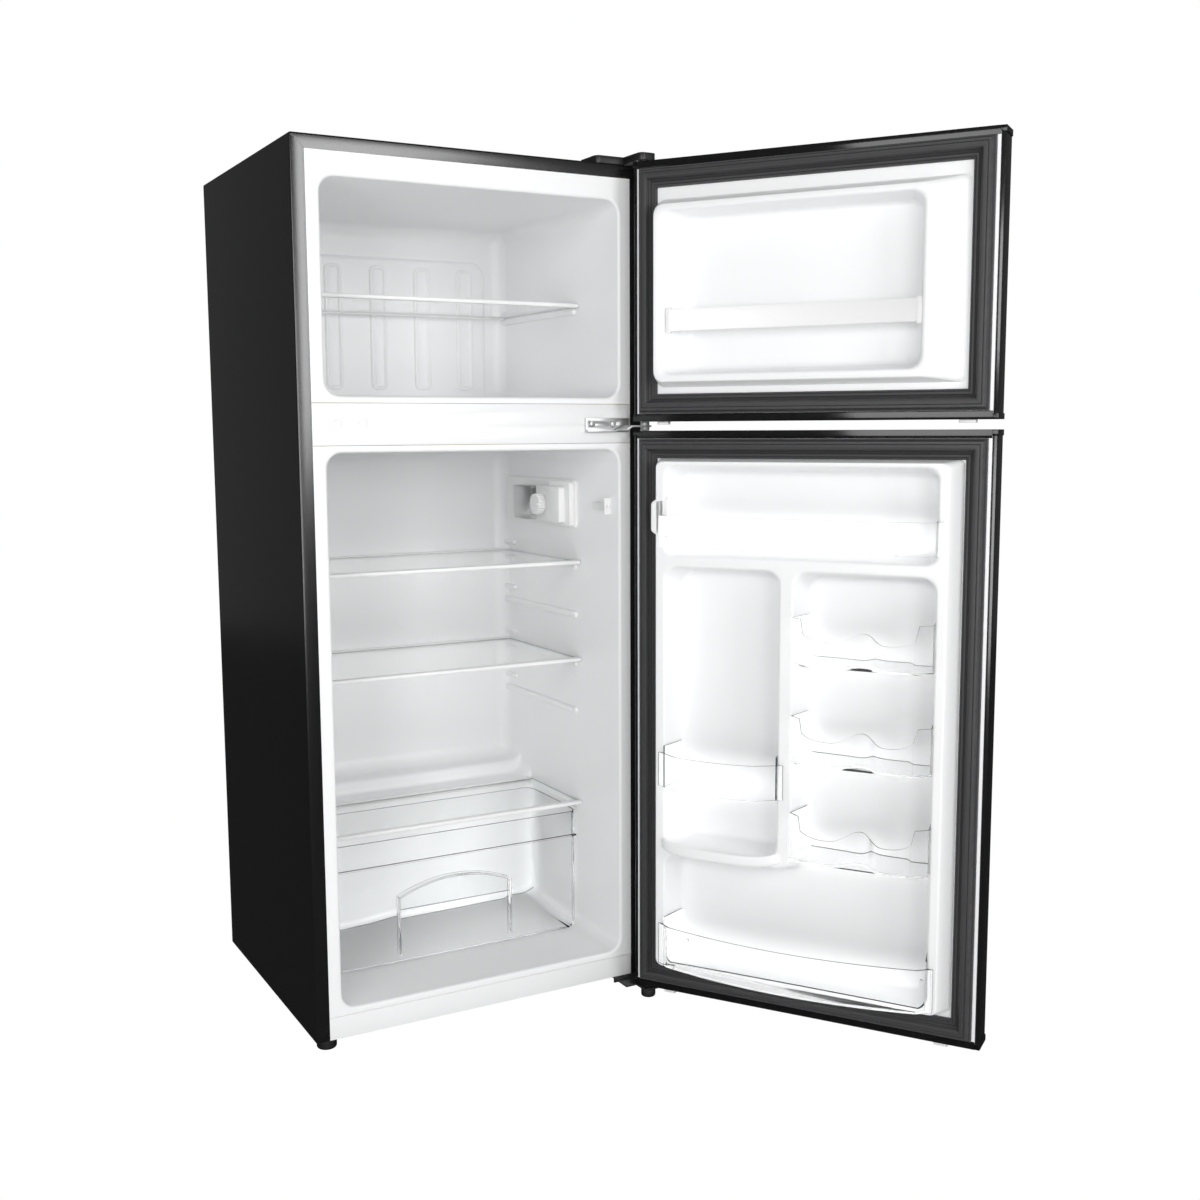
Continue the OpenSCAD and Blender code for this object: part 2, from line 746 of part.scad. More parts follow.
module bottom_hinge() {
    color("#b8b9bb") place() difference() {
        union() {
            translate([hinge_x - 44, -2, bracket_z]) cube([54, bracket_t, base_z - bracket_z]);
            translate([hinge_x - 44, -2, base_z - bracket_t]) cube([54, 62, bracket_t]);
            translate([hinge_x - 16, right_foot_y - 12, bracket_z]) cube([26, -right_foot_y + 12, bracket_t]);
            translate([hinge_x - 36, -30, bracket_z]) cube([46, 30, bracket_t]);
            translate([hinge_x, hinge_y, bracket_z]) cylinder(r = pin_r, h = bracket_t + 16);
            translate([hinge_x, hinge_y, bracket_z + bracket_t])
                cylinder(r = 7.5, h = fridge_door_z - bracket_z - bracket_t - slide_gap);
        }
        translate([right_foot_x, right_foot_y, 0]) cylinder(r = foot_stud_r + pin_clear, h = bracket_z + bracket_t + 0.5);
        bottom_screw_places() cylinder(r = screw_r + pin_clear, h = 20, center = true);
    }
}

// Pan-head screw: head from z = 0 up, shank below
module screw(len) {
    cylinder(r = screw_head_r, h = screw_head_h);
    translate([0, 0, -len]) cylinder(r = screw_r, h = len + 0.5);
}

module hinge_screws() {
    color("#9fa1a4") place() {
        hinge_screw_places() translate([0, 0, bracket_t]) screw(screw_len);
        mullion_screw_places() translate([0, -bracket_t, 0]) rotate([90, 0, 0]) screw(screw_len);
        bottom_screw_places() translate([0, 0, -bracket_t]) rotate([180, 0, 0]) screw(bracket_t);
    }
}

// ---------------------------------------------------------------- controls on the right wall

ctrl_drop = 142;
ctrl_z = fridge_top - ctrl_drop;
ctrl_h = 86;
ctrl_in = 14;
ctrl_rear = 22;
ctrl_y0 = shelf_y + ctrl_in;
ctrl_y1 = room_d - ctrl_rear;
ctrl_frame_w = 82;
knob_r = 19;
knob_in = 105;
knob_up = 40;
knob_y = ctrl_y0 + knob_in;
knob_z = ctrl_z + knob_up;
ctrl_out = 24;

module thermostat_housing() {
    color("#f0f1f1") place() difference() {
        union() {
            translate([room_x1 - 5, ctrl_y0, ctrl_z]) rotate([0, 90, 0]) mirror([1, 0, 0])
                tile(ctrl_h, ctrl_y1 - ctrl_y0, 5, 8);
            translate([room_x1 - 13, ctrl_y0 + 6, ctrl_z + 3]) rotate([0, 90, 0]) mirror([1, 0, 0])
                tile(ctrl_h - 6, ctrl_frame_w, 13, 8);
            translate([room_x1 - ctrl_out, ctrl_y0 + 26, ctrl_z + 9]) rotate([0, 90, 0]) mirror([1, 0, 0])
                tile(ctrl_h - 22, 50, ctrl_out, 4);
            translate([room_x1 - ctrl_out + 6, ctrl_y0 + 76, ctrl_z + 9]) cube([ctrl_out - 6, 52, ctrl_h - 22]);
        }
        translate([room_x1 - ctrl_out - eps, knob_y, knob_z]) rotate([0, 90, 0])
            cylinder(r = 4 + pin_clear, h = ctrl_out - 6);
    }
}

module thermostat_knob() {
    color("#fbfbfb") place() translate([room_x1 - ctrl_out + 6 - slide_gap, knob_y, knob_z]) rotate([0, -90, 0]) {
        difference() {
            cylinder(r = knob_r, h = 15);
            for (a = [0:15:345]) rotate([0, 0, a]) translate([knob_r + 1.2, 0, 3]) cylinder(r = 2.2, h = 15, $fn = 16);
        }
        translate([-1.5, -knob_r + 3, 15 - 0.2]) cube([3, knob_r - 4, 2.2]);
        translate([0, 0, -9]) cylinder(r = 4, h = 9.5);
    }
}

lamp_in = 129;
lamp_l = 76;
lamp_h = 62;
lamp_out = 22;
module lamp_cover() {
    color("#e4e7e8", 0.7) place() translate([room_x1 - 5 - lamp_out, ctrl_y0 + lamp_in, ctrl_z + 10])
        difference() {
            rotate([0, 90, 0]) mirror([1, 0, 0]) tile(lamp_h, lamp_l, lamp_out, 6);
            translate([2, 2, 2]) cube([lamp_out, lamp_l - 4, lamp_h - 4]);
        }
}

switch_up = 45;
switch_z = ctrl_z + switch_up;
switch_y = 28;
plunger_out = 5.7;
plunger_in = 17;
plunger_r = 3;
module switch_housing() {
    color("#f4f4f4") place() difference() {
        union() {
            translate([room_x1 - 12, switch_y, switch_z - 14]) cube([12, 3, 28]);
            translate([room_x1 - 10, switch_y + 3, switch_z - 5.5]) cube([10, 46, 11]);
        }
        translate([room_x1 - 6, switch_y - eps, switch_z]) rotate([-90, 0, 0]) cylinder(r = plunger_r + pin_clear, h = plunger_in + 10);
    }
}

module switch_plunger() {
    color("#fafafa") place() translate([room_x1 - 6, switch_y - plunger_out, switch_z]) rotate([-90, 0, 0])
        cylinder(r = plunger_r, h = plunger_out + plunger_in);
}

// ---------------------------------------------------------------- shelves

shelf_w = room_w - 2 * shelf_side;
shelf_x = side_wall + shelf_side;
trim_x = side_wall + rib_out + 1.5;
trim_w = room_w - 2 * rib_out - 3;

module shelf_glass(z, d) {
    color("#dfe9e6", 0.35) place() translate([shelf_x, shelf_y + 4, z]) cube([shelf_w, d - 8, glass_t]);
}

// Front and rear edge trims, slotted over the glass
module shelf_trim(z, d, tint = "#f6f6f6") {
    color(tint) place() difference() {
        union() {
            translate([shelf_x, shelf_y, z + glass_t / 2 - trim_h / 2])
                rotate([0, 90, 0]) mirror([1, 0, 0]) tile(trim_h, trim_d, shelf_w, 3);
            translate([trim_x, shelf_y + d - 9, z - 2.5])
                rotate([0, 90, 0]) mirror([1, 0, 0]) tile(glass_t + 5, 9, trim_w, 2);
        }
        translate([shelf_x - eps, shelf_y + 4, z]) cube([shelf_w + 2 * eps, d - 8, glass_t]);
    }
}

cover_d = hump_y - shelf_y - 4;
freezer_shelf_top = freezer_floor + freezer_shelf_z;

module freezer_shelf_glass() shelf_glass(freezer_shelf_top, shelf_d);
module freezer_shelf_trim() shelf_trim(freezer_shelf_top, shelf_d);
module upper_shelf_glass() shelf_glass(upper_z, shelf_d);
module upper_shelf_trim() shelf_trim(upper_z, shelf_d);
module lower_shelf_glass() shelf_glass(upper_z - 2 * level_step, shelf_d);
module lower_shelf_trim() shelf_trim(upper_z - 2 * level_step, shelf_d);
module crisper_cover_glass() shelf_glass(base_z + cover_z, cover_d);
module crisper_cover_trim() shelf_trim(base_z + cover_z, cover_d);

// Clear drawer with an arched pull on its front
drawer_side = 7;
drawer_x = side_wall + drawer_side;
drawer_w = room_w - 2 * drawer_side;
drawer_y = shelf_y - 4;
drawer_d = hump_y - drawer_y - 10;
drawer_z = fridge_floor + slide_gap;
drawer_h = base_z + cover_z - rib_h - 2 - drawer_z;
drawer_r = 20;
arch_w = 212;
arch_h = 126;
arch_rise = 24;
arch_out = 12;

// Outline of the pull in the X-Z plane: upright legs under a flat arch, grown by e
module arch_shape(e) {
    r = (pow(arch_w / 2, 2) + pow(arch_rise, 2)) / (2 * arch_rise);
    intersection() {
        translate([-arch_w / 2 - e, 0]) square([arch_w + 2 * e, arch_h + e]);
        translate([0, arch_h - r]) circle(r + e, $fn = 96);
    }
}

// Body of the drawer, inset by e: its lower corners follow the liner's
module drawer_block(e, h) {
    y = drawer_y + arch_out;
    d = drawer_d - arch_out;
    intersection() {
        translate([drawer_x + e, y + e, drawer_z + e]) tile(drawer_w - 2 * e, d - 2 * e, h - e, drawer_r - e);
        translate([drawer_x + e, y, drawer_z + e]) slab(drawer_w - 2 * e, d, h + 2 * liner_r, liner_r - e);
    }
}

module crisper_drawer() {
    color("#eef2f4", 0.4) place() difference() {
        union() {
            drawer_block(0, drawer_h);
            translate([drawer_x + 4, drawer_y + arch_out - 2, drawer_z + drawer_h - 46]) cube([drawer_w - 8, 4, 3]);
            translate([cab_w / 2, drawer_y + arch_out + 1, drawer_z + 16]) rotate([90, 0, 0])
                linear_extrude(arch_out + 1) difference() {
                    arch_shape(0);
                    translate([0, -eps]) arch_shape(-clear_t);
                }
            translate([cab_w / 2, drawer_y + clear_t, drawer_z + 16]) rotate([90, 0, 0])
                linear_extrude(clear_t) intersection() {
                    arch_shape(0);
                    translate([-arch_w, arch_h - arch_rise - 22]) square([2 * arch_w, 100]);
                }
        }
        drawer_block(clear_t, drawer_h + eps);
    }
}

// ---------------------------------------------------------------- doors

// Outline of a door in plan, inset by e: rounded at the front, square at the back
module door_plan(e) {
    translate([e, -door_t + e]) rrect(cab_w - 2 * e, door_t - 2 * e, door_r - e);
    translate([e, -door_r - e]) square([cab_w - 2 * e, door_r]);
}

module door_skin(h) {
    e = cap_lip;
    color("#141415") translate([0, 0, cap_h]) linear_extrude(h - 2 * cap_h) difference() {
        door_plan(e);
        door_plan(e + sheet_t);
        translate([return_w, -door_t / 2]) square([cab_w - 2 * return_w, door_t]);
    }
}

// Bore for a hinge pin, from z0 over length h
module pin_bore(z0, h) {
    translate([hinge_x, -hinge_depth, z0]) cylinder(r = pin_r + pin_clear, h = h);
}

grip_x = 70;
grip_y = -door_t + 9;
grip_d = 26;

// Recess for the fingers, grown by e
module grip_block(z0, h, e) {
    translate([grip_x - e, grip_y - e, z0]) tile(grip_w + 2 * e, grip_d + 2 * e, h, 9 + e);
}

// End cap from z = 0 to cap_h, with a thin lip over the liner's edge and an inward boss for the pin
lip_t = 0.8;
module end_cap(boss) {
    linear_extrude(cap_h) door_plan(0);
    translate([return_w, -lip_t, 0]) cube([cab_w - 2 * return_w, 2 * lip_t, cap_h]);
    translate([return_w, 0, 0]) cube([cab_w - 2 * return_w, lip_t, gasket_in - slide_gap]);
    if (boss) translate([hinge_x, -hinge_depth, cap_h]) cylinder(r = 9, h = 12);
}

cup_t = 2;
boss_h = 12;

module cap_bottom(grip) {
    color("#0f0f10") difference() {
        union() {
            end_cap(true);
            if (grip) grip_block(0, grip_h + cup_t, cup_t);
        }
        pin_bore(-eps, cap_h + boss_h - 2 + eps);
        if (grip) grip_block(-eps, grip_h + eps, 0);
    }
}

// A cap turned over for the top of a door of height h
module cap_top(h, grip) {
    translate([0, 0, h]) mirror([0, 0, 1]) cap_bottom(grip);
}

// Filling between the skin, the caps and the back of a liner whose solid form is child 0
module door_filling(h, grip_low, grip_high) {
    e = cap_lip + sheet_t;
    color("#d8cfa8") difference() {
        union() {
            translate([0, 0, cap_h]) linear_extrude(h - 2 * cap_h) intersection() {
                door_plan(e);
                translate([0, -door_t]) square([cab_w, door_t - liner_t]);
            }
            children(0);
        }
        children(1);
        if (grip_low) grip_block(0, grip_h + cup_t, cup_t);
        if (grip_high) grip_block(h - grip_h - cup_t, grip_h + cup_t + eps, cup_t);
        for (z = [0, h - cap_h - boss_h]) translate([hinge_x, -hinge_depth, z])
            cylinder(r = 9, h = cap_h + boss_h);
    }
}

// Flat back sheet of a door liner
module liner_sheet(h) {
    translate([return_w, -liner_t, cap_h]) cube([cab_w - 2 * return_w, liner_t, h - 2 * cap_h]);
}

// Seal between door and cabinet: a flat foot under a hollow magnet bead
gasket_h = seal_gap - slide_gap;
module gasket(h) {
    a = gasket_in;
    b = gasket_in + gasket_w;
    color("#3a3b3d") difference() {
        union() {
            translate([a, 0, a]) cube([cab_w - 2 * a, 7, h - 2 * a]);
            translate([a + 3, 0, a + 3]) cube([cab_w - 2 * a - 6, gasket_h, h - 2 * a - 6]);
        }
        translate([b - 12, 7, b - 12]) cube([cab_w - 2 * b + 24, gasket_h, h - 2 * b + 24]);
        translate([b, -eps, b]) cube([cab_w - 2 * b, gasket_h + 2 * eps, h - 2 * b]);
    }
}

// Freezer door liner as a solid form: e = 0 outside, e = liner_t where the foam starts
fz_x0 = gasket_in + gasket_w + 1;
fz_x1 = cab_w - fz_x0 - 3;
fz_z0 = freezer_floor - freezer_door_z + 16;
fz_z1 = freezer_top - freezer_door_z - 10;

module fz_ridges(e) {
    edge = fz_pocket_x - fz_x0 - 10;
    difference() {
        translate([fz_x0 + e, -liner_t - e / 2, fz_z0 + e])
            slab(fz_x1 - fz_x0 - 2 * e, fz_ridge + liner_t - e / 2, fz_z1 - fz_z0 - 2 * e, 14);
        // Slope from the handle side up to the ridge
        translate([fz_x0 + e, 0, fz_z0 - eps]) linear_extrude(fz_z1)
            polygon([[-eps, 3 - e], [4, 3 - e], [edge, fz_ridge - e], [edge, fz_ridge + 4], [-eps, fz_ridge + 4]]);
    }
}

// Pocket with a rounded outline and drafted side walls, for a ridge of height r, grown by e
module pocket(x0, x1, z0, z1, r, corner, draft0, draft1, e) {
    y0 = -pocket_depth - e;
    y1 = r + 4 * eps + e;
    intersection() {
        translate([x0 - e, y0, z0 - e]) slab(x1 - x0 + 2 * e, y1 - y0, z1 - z0 + 2 * e, corner + e);
        translate([0, 0, z0 - 2 * e - eps]) linear_extrude(z1 - z0 + 4 * e + 2 * eps)
            polygon([[x0 - e, y1], [x0 - e, r], [x0 + draft0 - e, y0], [x1 - draft1 + e, y0], [x1 + e, r],
                     [x1 + e, y1]]);
    }
}

module fz_pocket(e) {
    pocket(fz_pocket_x, fz_pocket_x + fz_pocket_w, fz_tray_z, fz_tray_z + fz_pocket_h, fz_ridge, 18, 14, 25, e);
}

// Cup that carries a pocket below the door's inner face
module fz_form(e) {
    difference() {
        fz_ridges(e);
        fz_pocket(e);
    }
}

module freezer_door_liner() {
    h = freezer_door_h;
    color("#f4f5f5") on_door(freezer_door_z) {
        difference() {
            union() {
                liner_sheet(h);
                fz_ridges(0);
                intersection() {
                    fz_pocket(liner_t);
                    translate([0, -door_t, 0]) cube([cab_w, door_t, h]);
                }
            }
            difference() {
                fz_form(liner_t);
                fz_pocket(liner_t);
            }
            fz_pocket(0);
        }
    }
}

module freezer_door_foam() {
    h = freezer_door_h;
    on_door(freezer_door_z) door_filling(h, true, false) {
        fz_form(liner_t);
        fz_pocket(liner_t);
    }
}

module freezer_door_skin() on_door(freezer_door_z) door_skin(freezer_door_h);
module freezer_door_gasket() on_door(freezer_door_z) gasket(freezer_door_h);
module freezer_door_top_cap() on_door(freezer_door_z) cap_top(freezer_door_h, false);
module freezer_door_bottom_cap() on_door(freezer_door_z) cap_bottom(true);

bar_h = 34;
bar_z = 144;
bar_end = 8;
module freezer_door_bar() {
    w = fz_pocket_w - 12.5;
    color("#fafafa") on_door(freezer_door_z) translate([fz_pocket_x + 4.5, fz_ridge - 9, bar_z]) {
        cube([w, 2.5, bar_h]);
        for (x = [0, w - bar_end]) translate([x, -6, -3]) cube([bar_end, 9, bar_h + 6]);
    }
}

stop_h = 5;
module freezer_door_stops() {
    color("#eeeeee") on_door(freezer_door_z) for (p = [[34, 26], [cab_w - 60, 20]])
        translate([p[0], -18, -stop_h]) cube([p[1], 10, stop_h]);
}

module fridge_door_stops() {
    color("#eeeeee") on_door(fridge_door_z) for (p = [[52, 22], [cab_w - 74, 20]])
        translate([p[0], -20, -stop_h - 3]) cube([p[1], 12, stop_h + 3]);
}

// ---------------------------------------------------------------- fridge door

fr_x0 = gasket_in + gasket_w + 1;
fr_x1 = cab_w - fr_x0;
fr_z0 = fridge_floor - fridge_door_z + 4;
fr_z1 = fridge_top - fridge_door_z - 15;
pocket_x0 = fr_side_h;
pocket_x1 = cab_w - fr_side_x;
pocket_top = fr_z1 - 9;
pocket_low = fr_z0 + 8;
divider_x = pocket_x1 - bottle_w - divider_w;
fr_slope = [pocket_x0 - fr_x0 - 10, fr_x1 - pocket_x1 - 13];
pad_x = cab_w - 49;
pad_h = 62;
pad_z = switch_z - fridge_door_z - pad_h / 2 - 12;
pad_y = switch_y - plunger_out - slide_gap + seal_gap;

module fr_ridges(e) {
    difference() {
        translate([fr_x0 + e, -liner_t - e / 2, fr_z0 + e])
            slab(fr_x1 - fr_x0 - 2 * e, fr_ridge + liner_t - e / 2, fr_z1 - fr_z0 - 2 * e, 12);
        // Slopes on both sides, which keep the ridge clear of the walls
        for (side = [0, 1]) translate([side * cab_w, 0, 0]) mirror([side, 0, 0])
            translate([fr_x0 + e, 0, fr_z0 - eps]) linear_extrude(fr_z1)
                polygon([[-eps, 3 - e], [4, 3 - e], [fr_slope[side], fr_ridge - e], [fr_slope[side], fr_ridge + 4],
                         [-eps, fr_ridge + 4]]);
    }
}

// Pockets for dairy, tall bottles and the can racks, grown by e
pocket_draft = 10;
pocket_r = 22;
module fr_pockets(e) {
    d = pocket_draft;
    bottle_x = divider_x + divider_w;
    pocket(pocket_x0, pocket_x1, ledge_z + ledge_t, pocket_top, fr_ridge, 16, d, d, e);
    pocket(bottle_x, pocket_x1, tray_z, ledge_z, fr_ridge, pocket_r, d, d, e);
    pocket(pocket_x0, divider_x, pocket_low, ledge_z, fr_ridge, pocket_r, d, d, e);
    low_pocket(e);
}

module low_pocket(e) {
    d = pocket_draft;
    pocket(pocket_x0, pocket_x1, pocket_low, tray_z - tray_t, fr_ridge, pocket_r, d, d, e);
}

// Raised lip of the bottle tray, bowed towards the compartment
tray_lip = 20;
tray_rise = 7;
module tray_bow() {
    w = bottle_w + 8;
    r = (pow(w / 2, 2) + pow(tray_lip, 2)) / (2 * tray_lip);
    translate([divider_x + divider_w - 4 + w / 2, fr_ridge, tray_z - tray_t]) difference() {
        intersection() {
            translate([0, tray_lip - r, 0]) cylinder(r = r, h = tray_t + tray_rise, $fn = 120);
            translate([-w / 2, -tray_lip, 0]) cube([w, 2 * tray_lip, tray_t + tray_rise]);
        }
        translate([0, tray_lip - r, tray_t]) cylinder(r = r - 6, h = tray_rise + eps, $fn = 120);
    }
}

module fr_form(e) {
    difference() {
        fr_ridges(e);
        fr_pockets(e);
    }
}

module fridge_door_liner() {
    h = fridge_door_h;
    color("#f4f5f5") on_door(fridge_door_z) {
        difference() {
            union() {
                liner_sheet(h);
                fr_ridges(0);
                tray_bow();
                // Pad that works the lamp switch
                translate([pocket_x1 + 2, -liner_t, pad_z]) slab(pad_x - pocket_x1 - 2, pad_y + liner_t, pad_h, 8);
                intersection() {
                    fr_pockets(liner_t);
                    translate([0, -door_t, 0]) cube([cab_w, door_t, h]);
                }
            }
            difference() {
                fr_form(liner_t);
                fr_pockets(liner_t);
            }
            difference() {
                fr_pockets(0);
                tray_bow();
            }
        }
    }
}

module fridge_door_foam() {
    h = fridge_door_h;
    on_door(fridge_door_z) door_filling(h, false, true) {
        fr_form(liner_t);
        fr_pockets(liner_t);
    }
}

module fridge_door_skin() on_door(fridge_door_z) door_skin(fridge_door_h);
module fridge_door_gasket() on_door(fridge_door_z) gasket(fridge_door_h);
module fridge_door_top_cap() on_door(fridge_door_z) cap_top(fridge_door_h, true);
module fridge_door_bottom_cap() on_door(fridge_door_z) cap_bottom(false);

// ---------------------------------------------------------------- clear door fittings

bin_gap = 0.5;
lap = 9;
tab_y = -pocket_depth + bin_gap;

// Front line in plan over width w: corners c in from the ends, d forward, then bowed by b
function front_line(w, c, d, b) = concat([[0, 0]],
    [for (i = [0:24]) let (u = i / 24) [c + u * (w - 2 * c), d + b * (1 - pow(2 * u - 1, 2))]], [[w, 0]]);

// The same line moved in by t
function inner_line(pts, w, t) = [for (p = pts) [t + p[0] * (w - 2 * t) / w, p[1] - t]];

// Clear front that laps over the ridge on both sides of a pocket from x0 to x1.
// Its ends hook into the pocket and rise by ear over the front
module hung_front(x0, x1, z, h, c, d, b, ear) {
    w = x1 - x0 + 2 * lap;
    pts = front_line(w, c, d, b);
    translate([x0 - lap, fr_ridge + bin_gap, z]) {
        linear_extrude(h) difference() {
            polygon(pts);
            polygon(concat(inner_line(pts, w, clear_t), [[w - clear_t, -eps], [clear_t, -eps]]));
        }
        for (side = [0, 1]) translate([side * w, 0, 0]) mirror([side, 0, 0])
            cube([lap + bin_gap + clear_t, clear_t, h]);
    }
    intersection() {
        translate([x0 - lap, fr_ridge + bin_gap, z]) for (side = [0, 1])
            translate([side * w, 0, 0]) mirror([side, 0, 0]) linear_extrude(h + ear)
                polygon([[lap + bin_gap, clear_t], [lap + bin_gap + clear_t, clear_t],
                         [lap + bin_gap + clear_t + pocket_draft, tab_y - fr_ridge - bin_gap],
                         [lap + bin_gap + pocket_draft, tab_y - fr_ridge - bin_gap], [lap + bin_gap, -bin_gap]]);
        fr_pockets(-bin_gap);
    }
}

guard_h = 51;
guard_z = ledge_z + ledge_t + 15;
flute_n = 9;
module top_guard() {
    c = 26;
    w = pocket_x1 - pocket_x0 + 2 * lap;
    pitch = (w - 2 * c) / (flute_n + 1);
    color("#e8eef0", 0.4) on_door(fridge_door_z) {
        hung_front(pocket_x0, pocket_x1, guard_z, guard_h, c, 14, 0, 0);
        // Flutes along the front
        for (i = [1:flute_n]) translate([pocket_x0 - lap + c + i * pitch, fr_ridge + bin_gap + 14 - clear_t / 2, guard_z])
            cylinder(r = clear_t, h = guard_h);
    }
}

retainer_h = 57;
retainer_up = 101;
retainer_z = tray_z + retainer_up;
module bottle_retainer() {
    color("#e8eef0", 0.4) on_door(fridge_door_z)
        hung_front(divider_x + divider_w, pocket_x1, retainer_z, retainer_h, 40, 26, 8, 12);
}

// Rack with two round lobes for cans and raised ends
rack_h = 40;
rack_hump = 13;
rack_ear = 74;
rack_in = 32;
rack_out = fr_ridge + 24;
rack_up = 10;
rack_z0 = tray_z + rack_up;
rack_pitch = (ledge_z - tray_z + 1) / 3;
rack_corner = 24;
rack_side_y = 44;

function rack_front(w, n) = [for (i = [0:n]) let (u = i / n)
    [rack_corner + u * (w - 2 * rack_corner), rack_out - rack_in * pow(sin(180 * u), 8)]];

function rack_top(w, n) = [for (i = [0:n]) let (u = i / n, v = abs(2 * u - 1))
    [rack_corner + u * (w - 2 * rack_corner),
     rack_h + rack_hump * pow(cos(90 * min(1, v * 2.2)), 2) + 12 * pow(v, 6)]];

module can_rack(z) {
    w = divider_x - pocket_x0 - 2 * bin_gap;
    n = 40;
    t = clear_t;
    g = pocket_draft;
    front = rack_front(w, n);
    color("#e8eef0", 0.4) on_door(fridge_door_z) translate([pocket_x0 + bin_gap, 0, z]) {
        intersection() {
            linear_extrude(rack_ear) difference() {
                polygon(concat([[g, tab_y], [0, fr_ridge], [0, rack_side_y]], front,
                               [[w, rack_side_y], [w, fr_ridge], [w - g, tab_y]]));
                polygon(concat([[g + t, tab_y - eps], [t, fr_ridge], [t, rack_side_y - t]],
                               [for (p = front) [p[0], p[1] - t]],
                               [[w - t, rack_side_y - t], [w - t, fr_ridge], [w - g - t, tab_y - eps]]));
            }
            translate([0, rack_out + eps, 0]) rotate([90, 0, 0]) linear_extrude(rack_out - tab_y + 2 * eps)
                polygon(concat([[0, 0], [0, rack_ear], [rack_corner - 5, rack_ear]], rack_top(w, n),
                               [[w - rack_corner + 5, rack_ear], [w, rack_ear], [w, 0]]));
        }
        // Floor with a straight front edge
        linear_extrude(t) polygon([[g, tab_y], [0, fr_ridge], [0, rack_side_y], [rack_corner, rack_out],
                                   [w - rack_corner, rack_out], [w, rack_side_y], [w, fr_ridge], [w - g, tab_y]]);
    }
}

module can_rack_bottom() can_rack(rack_z0);
module can_rack_middle() can_rack(rack_z0 + rack_pitch);
module can_rack_top() can_rack(rack_z0 + 2 * rack_pitch);

bin_h = 70;
bin_z = pocket_low + bin_gap;
module bottom_bin() {
    c = 22;
    w = pocket_x1 - pocket_x0 + 2 * lap;
    color("#e8eef0", 0.4) on_door(fridge_door_z) {
        hung_front(pocket_x0, pocket_x1, bin_z, bin_h, c, 16, 26, 12);
        translate([pocket_x0 - lap, fr_ridge + bin_gap, bin_z]) linear_extrude(clear_t)
            polygon(front_line(w, c, 16, 26));
        // Floor inside the pocket, turned up at both ends and open at the back
        intersection() {
            difference() {
                low_pocket(-bin_gap);
                low_pocket(-bin_gap - clear_t);
                translate([pocket_x0 + pocket_r, -2 * pocket_depth, bin_z + clear_t])
                    cube([pocket_x1 - pocket_x0 - 2 * pocket_r, 2 * pocket_depth, tray_z]);
            }
            translate([0, tab_y, bin_z]) cube([cab_w, fr_ridge - tab_y + eps, pocket_r + clear_t]);
        }
    }
}

cabinet_shell();
back_panel();
base_pan();
cabinet_foam();
freezer_liner();
fridge_liner();
mullion_rail();
mullion_plugs();
sill_rail();
freezer_evaporator();
compressor();
compressor_grommets();
terminal_box();
condenser();
condenser_brackets();
refrigerant_tubes();
drip_tray();
rear_feet();
top_hinge();
hinge_cover();
middle_hinge();
bottom_hinge();
hinge_screws();
thermostat_housing();
thermostat_knob();
lamp_cover();
switch_housing();
switch_plunger();
front_foot_left();
front_foot_right();
freezer_shelf_glass();
freezer_shelf_trim();
upper_shelf_glass();
upper_shelf_trim();
lower_shelf_glass();
lower_shelf_trim();
crisper_cover_glass();
crisper_cover_trim();
crisper_drawer();
freezer_door_skin();
freezer_door_foam();
freezer_door_liner();
freezer_door_gasket();
freezer_door_top_cap();
freezer_door_bottom_cap();
freezer_door_bar();
freezer_door_stops();
fridge_door_skin();
fridge_door_foam();
fridge_door_liner();
fridge_door_gasket();
fridge_door_top_cap();
fridge_door_bottom_cap();
fridge_door_stops();
top_guard();
bottle_retainer();
can_rack_top();
can_rack_middle();
can_rack_bottom();
bottom_bin();
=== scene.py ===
# %% [markdown]
# # A refrigerator with its freezer on top, stored with both doors open
# A two-door refrigerator is a folded steel box with two plastic tubs hung inside it, foam blown between
# them, and doors made the same way. Every construction part, its size and its joints come from the packed
# frame. Blender adds what the frame leaves plain: the soft forms of the vacuum-formed liners, the ribbed
# gaskets, the clear mouldings with their dark edges, and the finish of every surface.

# %% Load the frame and keep its box
import json
import math

import bmesh
import bpy
from mathutils import Matrix, Vector

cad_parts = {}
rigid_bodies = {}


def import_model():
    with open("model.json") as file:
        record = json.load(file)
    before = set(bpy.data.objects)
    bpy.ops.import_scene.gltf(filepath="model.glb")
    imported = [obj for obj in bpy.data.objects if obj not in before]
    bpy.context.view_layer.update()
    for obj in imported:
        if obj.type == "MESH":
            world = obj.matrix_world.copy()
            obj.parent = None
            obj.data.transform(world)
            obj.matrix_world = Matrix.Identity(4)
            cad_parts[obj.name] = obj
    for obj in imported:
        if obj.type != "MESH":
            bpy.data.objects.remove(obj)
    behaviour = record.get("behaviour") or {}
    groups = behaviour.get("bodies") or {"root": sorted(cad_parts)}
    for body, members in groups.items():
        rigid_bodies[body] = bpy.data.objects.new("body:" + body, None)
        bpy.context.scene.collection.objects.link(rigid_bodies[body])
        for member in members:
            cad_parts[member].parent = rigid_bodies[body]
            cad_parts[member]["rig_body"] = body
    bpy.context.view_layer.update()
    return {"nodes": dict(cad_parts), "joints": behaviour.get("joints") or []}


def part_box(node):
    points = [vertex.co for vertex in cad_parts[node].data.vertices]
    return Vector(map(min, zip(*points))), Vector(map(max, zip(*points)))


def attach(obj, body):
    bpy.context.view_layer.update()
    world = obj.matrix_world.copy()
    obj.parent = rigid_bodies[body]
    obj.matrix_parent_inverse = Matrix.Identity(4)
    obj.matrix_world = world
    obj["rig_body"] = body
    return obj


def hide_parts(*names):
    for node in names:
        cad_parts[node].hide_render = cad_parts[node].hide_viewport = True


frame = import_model()

